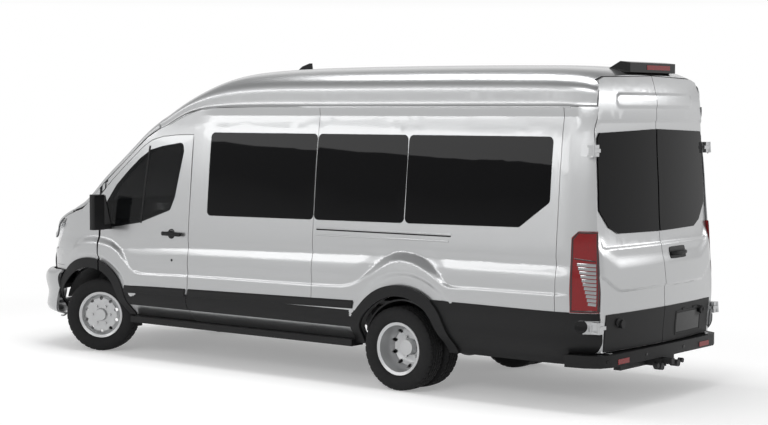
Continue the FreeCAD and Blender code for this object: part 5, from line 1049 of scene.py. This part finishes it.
def slab_shell(size, taper=0.9, power=6.0, rows=6, steps=36):
    """Upright rounded block that narrows upward, as a closed shell."""
    lx, ly, lz = size
    verts = []
    levels = [(0.0, 0.94), (0.02, 1.0)] + [(0.1 + 0.8 * i / rows, 1.0) for i in range(rows)]
    levels += [(0.97, 1.0), (1.0, 0.95)]
    for t, scale in levels:
        wide = (1 - (1 - taper) * t) * scale
        for k in range(steps):
            c, d = power_round(2 * math.pi * k / steps, power)
            verts.append(Vector((lx / 2 * c * wide, ly / 2 * d * wide, lz * t)))
    return verts, capped(len(levels), steps)


def rod_shell(a, b, radius, steps=12):
    a = Vector(a)
    b = Vector(b)
    along = (b - a).normalized()
    side = along.orthogonal().normalized()
    up = along.cross(side)
    verts = []
    for spot in (a, b):
        for k in range(steps):
            angle = 2 * math.pi * k / steps
            verts.append(spot + (side * math.cos(angle) + up * math.sin(angle)) * radius)
    return verts, capped(2, steps)


FRONT_SEATS = [(1.480, 0.420, 0.640), (1.480, -0.420, 0.640)]
# A seat's parts, from the floor under its middle
SEAT_Z = 0.360
SEAT_BACK_X = 0.108
CUSHION = (0.44, 0.445, 0.10, 0.014, (-0.35, 0.1, 0.55))
CUSHION_AT = (0.012, 0.052)
CUSHION_TILT = math.radians(-2)
BACK = (0.42, 0.44, 0.10, 0.022, (-0.5, -0.05, 0.4))
BACK_LEAN = math.atan2(0.2, 0.53)
BACK_FOOT = (-0.185, 0.10)
BACK_SINK = 0.03
HEADREST = (0.135, 0.27, 0.085, 0.004, ())
HEADREST_UP = 0.045
POST_Y = 0.06
POST_LONG = 0.10
POST_RADIUS = 0.006
PLINTH = (0.30, 0.36, 0.34)
RAIL_HALF = 0.2
RAIL_Y = 0.15
RAIL_RADIUS = 0.011
PIVOT_Y = 0.205
PIVOT_RADIUS = 0.024


def seat_places():
    """Middles of the rear seats, read from their CAD boxes."""
    mesh = frame["nodes"]["rear_seats"].data
    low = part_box("rear_seats")[0]
    groups = loose_boxes(mesh)
    return [((lo.x + hi.x) / 2 + SEAT_BACK_X, (lo.y + hi.y) / 2, low[2]) for lo, hi in groups]


def loose_boxes(mesh):
    """Box of each connected piece of a mesh."""
    parent = list(range(len(mesh.vertices)))

    def root(i):
        while parent[i] != i:
            parent[i] = parent[parent[i]]
            i = parent[i]
        return i

    keyed = {}
    for v in mesh.vertices:
        key = tuple(round(c, 5) for c in v.co)
        if key in keyed:
            parent[root(v.index)] = root(keyed[key])
        else:
            keyed[key] = v.index
    for poly in mesh.polygons:
        first = root(poly.vertices[0])
        for i in poly.vertices[1:]:
            parent[root(i)] = first
    boxes = {}
    for v in mesh.vertices:
        r = root(v.index)
        lo, hi = boxes.setdefault(r, (v.co.copy(), v.co.copy()))
        for axis in range(3):
            lo[axis] = min(lo[axis], v.co[axis])
            hi[axis] = max(hi[axis], v.co[axis])
    return [boxes[k] for k in sorted(boxes, key=lambda k: (-round(boxes[k][0].x, 3), boxes[k][0].y))]


def build_seats(prefix, places, replaced):
    """Cushions, backs, headrests and bases for one node of seats."""
    cushions = []
    backs = []
    heads = []
    bases = []
    posts = []
    up = Vector((-math.sin(BACK_LEAN), 0, math.cos(BACK_LEAN)))
    out = Vector((math.cos(BACK_LEAN), 0, math.sin(BACK_LEAN)))
    turn = Matrix((up, Vector((0, -1, 0)), out)).transposed().to_4x4()
    long = BACK[0]
    for x, y, base in places:
        low = base + SEAT_Z
        at = Matrix.Translation((x + CUSHION_AT[0], y, low + CUSHION_AT[1]))
        cushions.append(moved(pad_points(*CUSHION), at @ Matrix.Rotation(CUSHION_TILT, 4, "Y")))
        foot = Vector((x + BACK_FOOT[0], y, low + BACK_FOOT[1]))
        at = Matrix.Translation(foot + up * (long / 2 - BACK_SINK) - out * 0.02)
        backs.append(moved(pad_points(*BACK), at @ turn))
        at = Matrix.Translation(foot + up * (long + HEADREST_UP) - out * 0.018)
        heads.append(moved(pad_points(*HEADREST), at @ turn))
        bases.append(moved(slab_shell(PLINTH, 0.92), Matrix.Translation((x - 0.01, y, base + 0.002))))
        for side in (-1, 1):
            bottom = foot + up * (long - 0.08) - out * 0.022 + Vector((0, side * POST_Y, 0))
            posts.append(rod_shell(bottom, bottom + up * POST_LONG, POST_RADIUS))
            rail = [(x + end, y + side * RAIL_Y, low - 0.012) for end in (-RAIL_HALF, RAIL_HALF)]
            bases.append(rod_shell(*rail, RAIL_RADIUS))
            pivot = y + side * PIVOT_Y
            bases.append(rod_shell((x - 0.19, pivot, low + 0.03), (x - 0.215, pivot, low + 0.16),
                                   PIVOT_RADIUS))
    for name, shells in (("cushions", cushions), ("backs", backs), ("headrests", heads)):
        piece = gather(prefix + "_" + name, shells, MATS["seat_cloth"], "body", replaced)
    gather(prefix + "_bases", bases, BLACK, "body")
    gather(prefix + "_posts", posts, extra("bright_post", (0.55, 0.55, 0.55), 0.25, 1.0), "body")


build_seats("front_seat", FRONT_SEATS, "front_seats")
build_seats("rear_seat", seat_places(), "rear_seats")


def torus_shell(radius, grip, steps=96, sides=18):
    verts = []
    for i in range(steps):
        a = 2 * math.pi * i / steps
        wave = 1 + 0.05 * math.cos(3 * a) ** 2
        for k in range(sides):
            b = 2 * math.pi * k / sides
            r = radius + grip * math.cos(b)
            verts.append(Vector((r * math.cos(a), r * math.sin(a), grip * wave * math.sin(b))))
    return verts, quads(steps, sides, True)


WHEEL_HUB = Vector((1.880, 0.420, 1.170))
COLUMN_AIM = (-0.86, 0, 0.51)
RIM_RADIUS = 0.189
RIM_GRIP = 0.0145
# Spoke stations: distance from the hub, half width and height under the rim
SPOKE = ((0.03, 0.034, -0.022), (0.08, 0.026, -0.020), (0.13, 0.017, -0.012), (0.183, 0.015, 0.0))
SPOKE_SIDES = 14
SPOKE_THICK = 0.007
BOSS = (0.15, 0.15, 0.05, 0.0, ())
BOSS_DROP = 0.016
SHAFT_ENDS = (0.175, 0.03)
SHAFT_RADIUS = 0.0175


def spoke_shell(angle, sign):
    aim = Vector((math.cos(angle), math.sin(angle), 0))
    across = Vector((-aim.y, aim.x, 0))
    verts = []
    for t, wide, drop in SPOKE:
        for k in range(SPOKE_SIDES):
            c, d = power_round(2 * math.pi * k / SPOKE_SIDES, 3.0)
            verts.append(aim * t + across * wide * c + Vector((0, 0, sign * drop + SPOKE_THICK * d)))
    return verts, capped(len(SPOKE), SPOKE_SIDES)


def build_steering():
    """Rim, three spokes, boss and column cover in place of the plain wheel."""
    out = Vector(COLUMN_AIM).normalized()
    side = Vector((0, 1, 0))
    up = out.cross(side) * -1
    turn = Matrix((side, up, side.cross(up))).transposed().to_4x4()
    at = Matrix.Translation(WHEEL_HUB) @ turn
    sign = 1 if (turn.to_3x3() @ Vector((0, 0, 1))).dot(out) > 0 else -1
    rim = gather("steering_rim", [moved(torus_shell(RIM_RADIUS, RIM_GRIP), at)], MATS["interior"],
                 "steering_wheel", "steering_wheel")
    parts = [moved(spoke_shell(angle, sign), at) for angle in (0.0, math.pi, -math.pi / 2)]
    parts.append(moved(pad_points(*BOSS), at @ Matrix.Translation((0, 0, -sign * BOSS_DROP))))
    gather("steering_boss", parts, MATS["gloss_black"], "steering_wheel")
    low, high = [WHEEL_HUB - out * end for end in SHAFT_ENDS]
    gather("steering_shaft", [rod_shell(low, high, SHAFT_RADIUS, 24)], MATS["steel"], "steering_wheel")


build_steering()


lamp_details()
hinge_marks()
small_marks()


# Camera, light and ground

# Camera fitted to the wheels and body lines of the picture, its angles in degrees
CAMERA_PLACE = (-10.084, 12.168, 2.3126)
CAMERA_HEADING = -51.689
CAMERA_DIP = -3.385
CAMERA_ROLL = 0.089
CAMERA_LENS = 80.71
WORLD_LIGHT = 0.45
FLOOR_TONE = (0.80, 0.80, 0.80, 1)
FLOOR_LIFT = 0.30
# The floor's plain white begins and is full at these distances, with the length counted less
FLOOR_NEAR = 2.2
FLOOR_FAR = 5.0
FLOOR_SQUEEZE = (0.62, 1.0, 0.0)
FLOOR_HALF = 60
# Backdrop: sine of the height above the horizon, and grey
SKY = ((0.06, 1.0), (0.09, 0.62), (0.16, 0.66), (0.24, 1.0), (0.36, 0.9), (0.55, 0.4))
SKY_TOP = (0.95, (0.2, 0.2, 0.205, 1))
# Lamps: name, place, aim, size across and up, and power
LAMPS = (("overhead", (0, 0.5, 8.0), (0, 0, 0), 8.0, 3.0, 420),
         ("side", (7.0, 13.0, 4.8), (0, 0, 1.2), 15.0, 1.3, 230),
         ("key", (-4.0, 11.0, 6.5), (0, 0, 1.0), 5.0, 2.5, 260),
         ("back", (-10.5, -7.5, 4.2), (-3.3, 0, 1.3), 6.0, 1.4, 150))


def look_camera():
    cam = bpy.data.cameras.new("camera")
    obj = bpy.data.objects.new("camera", cam)
    bpy.context.scene.collection.objects.link(obj)
    obj.location = CAMERA_PLACE
    heading = math.radians(CAMERA_HEADING)
    dip = math.radians(CAMERA_DIP)
    look = Vector((math.cos(dip) * math.cos(heading), math.cos(dip) * math.sin(heading), math.sin(dip)))
    turn = look.to_track_quat("-Z", "Y").to_matrix().to_4x4()
    roll = Matrix.Rotation(math.radians(CAMERA_ROLL), 4, "Z")
    obj.matrix_world = Matrix.Translation(obj.location) @ turn @ roll
    cam.sensor_width = 36.0
    cam.lens = CAMERA_LENS
    cam.clip_end = 200.0
    bpy.context.scene.camera = obj


def area_lamp(name, place, aim, size_x, size_y, power):
    light = bpy.data.lights.new(name, "AREA")
    light.shape = "RECTANGLE"
    light.size = size_x
    light.size_y = size_y
    light.energy = power
    obj = bpy.data.objects.new(name, light)
    bpy.context.scene.collection.objects.link(obj)
    obj.location = place
    obj.rotation_euler = (Vector(aim) - Vector(place)).to_track_quat("-Z", "Y").to_euler()


def seen_directly(tree):
    """1 for the rays that show the background: camera, mirror and glass rays."""
    path = tree.nodes.new("ShaderNodeLightPath")
    value = path.outputs["Is Camera Ray"]
    for kind in ("Is Glossy Ray", "Is Transmission Ray"):
        larger = tree.nodes.new("ShaderNodeMath")
        larger.operation = "MAXIMUM"
        tree.links.new(value, larger.inputs[0])
        tree.links.new(path.outputs[kind], larger.inputs[1])
        value = larger.outputs[0]
    return value


def mixed(tree, kind, *inputs):
    """Shader that mixes or adds what is wired to its inputs, in order."""
    made = tree.nodes.new(kind)
    for socket, source in zip(made.inputs, inputs):
        tree.links.new(source, socket)
    return made.outputs[0]


def white_floor():
    """Pale ground that keeps the shadow near the vehicle and turns plain white farther out."""
    far = FLOOR_HALF
    mesh = mesh_of("floor", [(-far, -far, 0), (far, -far, 0), (far, far, 0), (-far, far, 0)],
                   [(0, 1, 2, 3)], False)
    obj = bpy.data.objects.new("floor", mesh)
    bpy.context.scene.collection.objects.link(obj)
    obj.location.z = -0.001
    m = bpy.data.materials.new("floor")
    m.use_nodes = True
    tree = m.node_tree
    b = tree.nodes["Principled BSDF"]
    b.inputs["Base Color"].default_value = FLOOR_TONE
    b.inputs["Roughness"].default_value = 0.9
    b.inputs["Specular IOR Level"].default_value = 0.0
    lift = node(m, "ShaderNodeEmission", Strength=FLOOR_LIFT)
    near = mixed(tree, "ShaderNodeAddShader", b.outputs[0], lift.outputs[0])
    white = node(m, "ShaderNodeEmission", Strength=1.0)
    place = tree.nodes.new("ShaderNodeNewGeometry")
    squeeze = node(m, "ShaderNodeVectorMath", operation="MULTIPLY")
    squeeze.inputs[1].default_value = FLOOR_SQUEEZE
    tree.links.new(place.outputs["Position"], squeeze.inputs[0])
    distance = node(m, "ShaderNodeVectorMath", operation="LENGTH")
    tree.links.new(squeeze.outputs[0], distance.inputs[0])
    spread = node(m, "ShaderNodeMapRange", interpolation_type="SMOOTHSTEP")
    spread.inputs["From Min"].default_value = FLOOR_NEAR
    spread.inputs["From Max"].default_value = FLOOR_FAR
    tree.links.new(distance.outputs["Value"], spread.inputs["Value"])
    fade = mixed(tree, "ShaderNodeMixShader", spread.outputs["Result"], near, white.outputs[0])
    plain = node(m, "ShaderNodeBsdfDiffuse", Color=FLOOR_TONE)
    shown = mixed(tree, "ShaderNodeMixShader", seen_directly(tree), plain.outputs[0], fade)
    tree.links.new(shown, tree.nodes["Material Output"].inputs["Surface"])
    obj.data.materials.append(m)


def light_world():
    """Even light, and a backdrop that is white at eye height and greyer overhead."""
    world = bpy.data.worlds.new("world")
    bpy.context.scene.world = world
    world.use_nodes = True
    tree = world.node_tree
    back = tree.nodes["Background"]
    back.inputs["Color"].default_value = (1, 1, 1, 1)
    back.inputs["Strength"].default_value = WORLD_LIGHT
    seen = tree.nodes.new("ShaderNodeBackground")
    seen.inputs["Strength"].default_value = 1.0
    coord = tree.nodes.new("ShaderNodeTexCoord")
    split = tree.nodes.new("ShaderNodeSeparateXYZ")
    tree.links.new(coord.outputs["Generated"], split.inputs[0])
    ramp = tree.nodes.new("ShaderNodeValToRGB")
    marks = ramp.color_ramp.elements
    marks[0].position = 0.0
    marks[0].color = (1, 1, 1, 1)
    marks[1].position, marks[1].color = SKY_TOP
    for place, tone in SKY:
        marks.new(place).color = (tone, tone, tone, 1)
    tree.links.new(split.outputs["Z"], ramp.inputs["Fac"])
    tree.links.new(ramp.outputs["Color"], seen.inputs["Color"])
    shown = mixed(tree, "ShaderNodeMixShader", seen_directly(tree), back.outputs[0], seen.outputs[0])
    tree.links.new(shown, tree.nodes["World Output"].inputs["Surface"])


look_camera()
white_floor()
light_world()
for lamp in LAMPS:
    area_lamp(*lamp)
bpy.context.scene.view_settings.view_transform = "Standard"

bpy.context.view_layer.update()
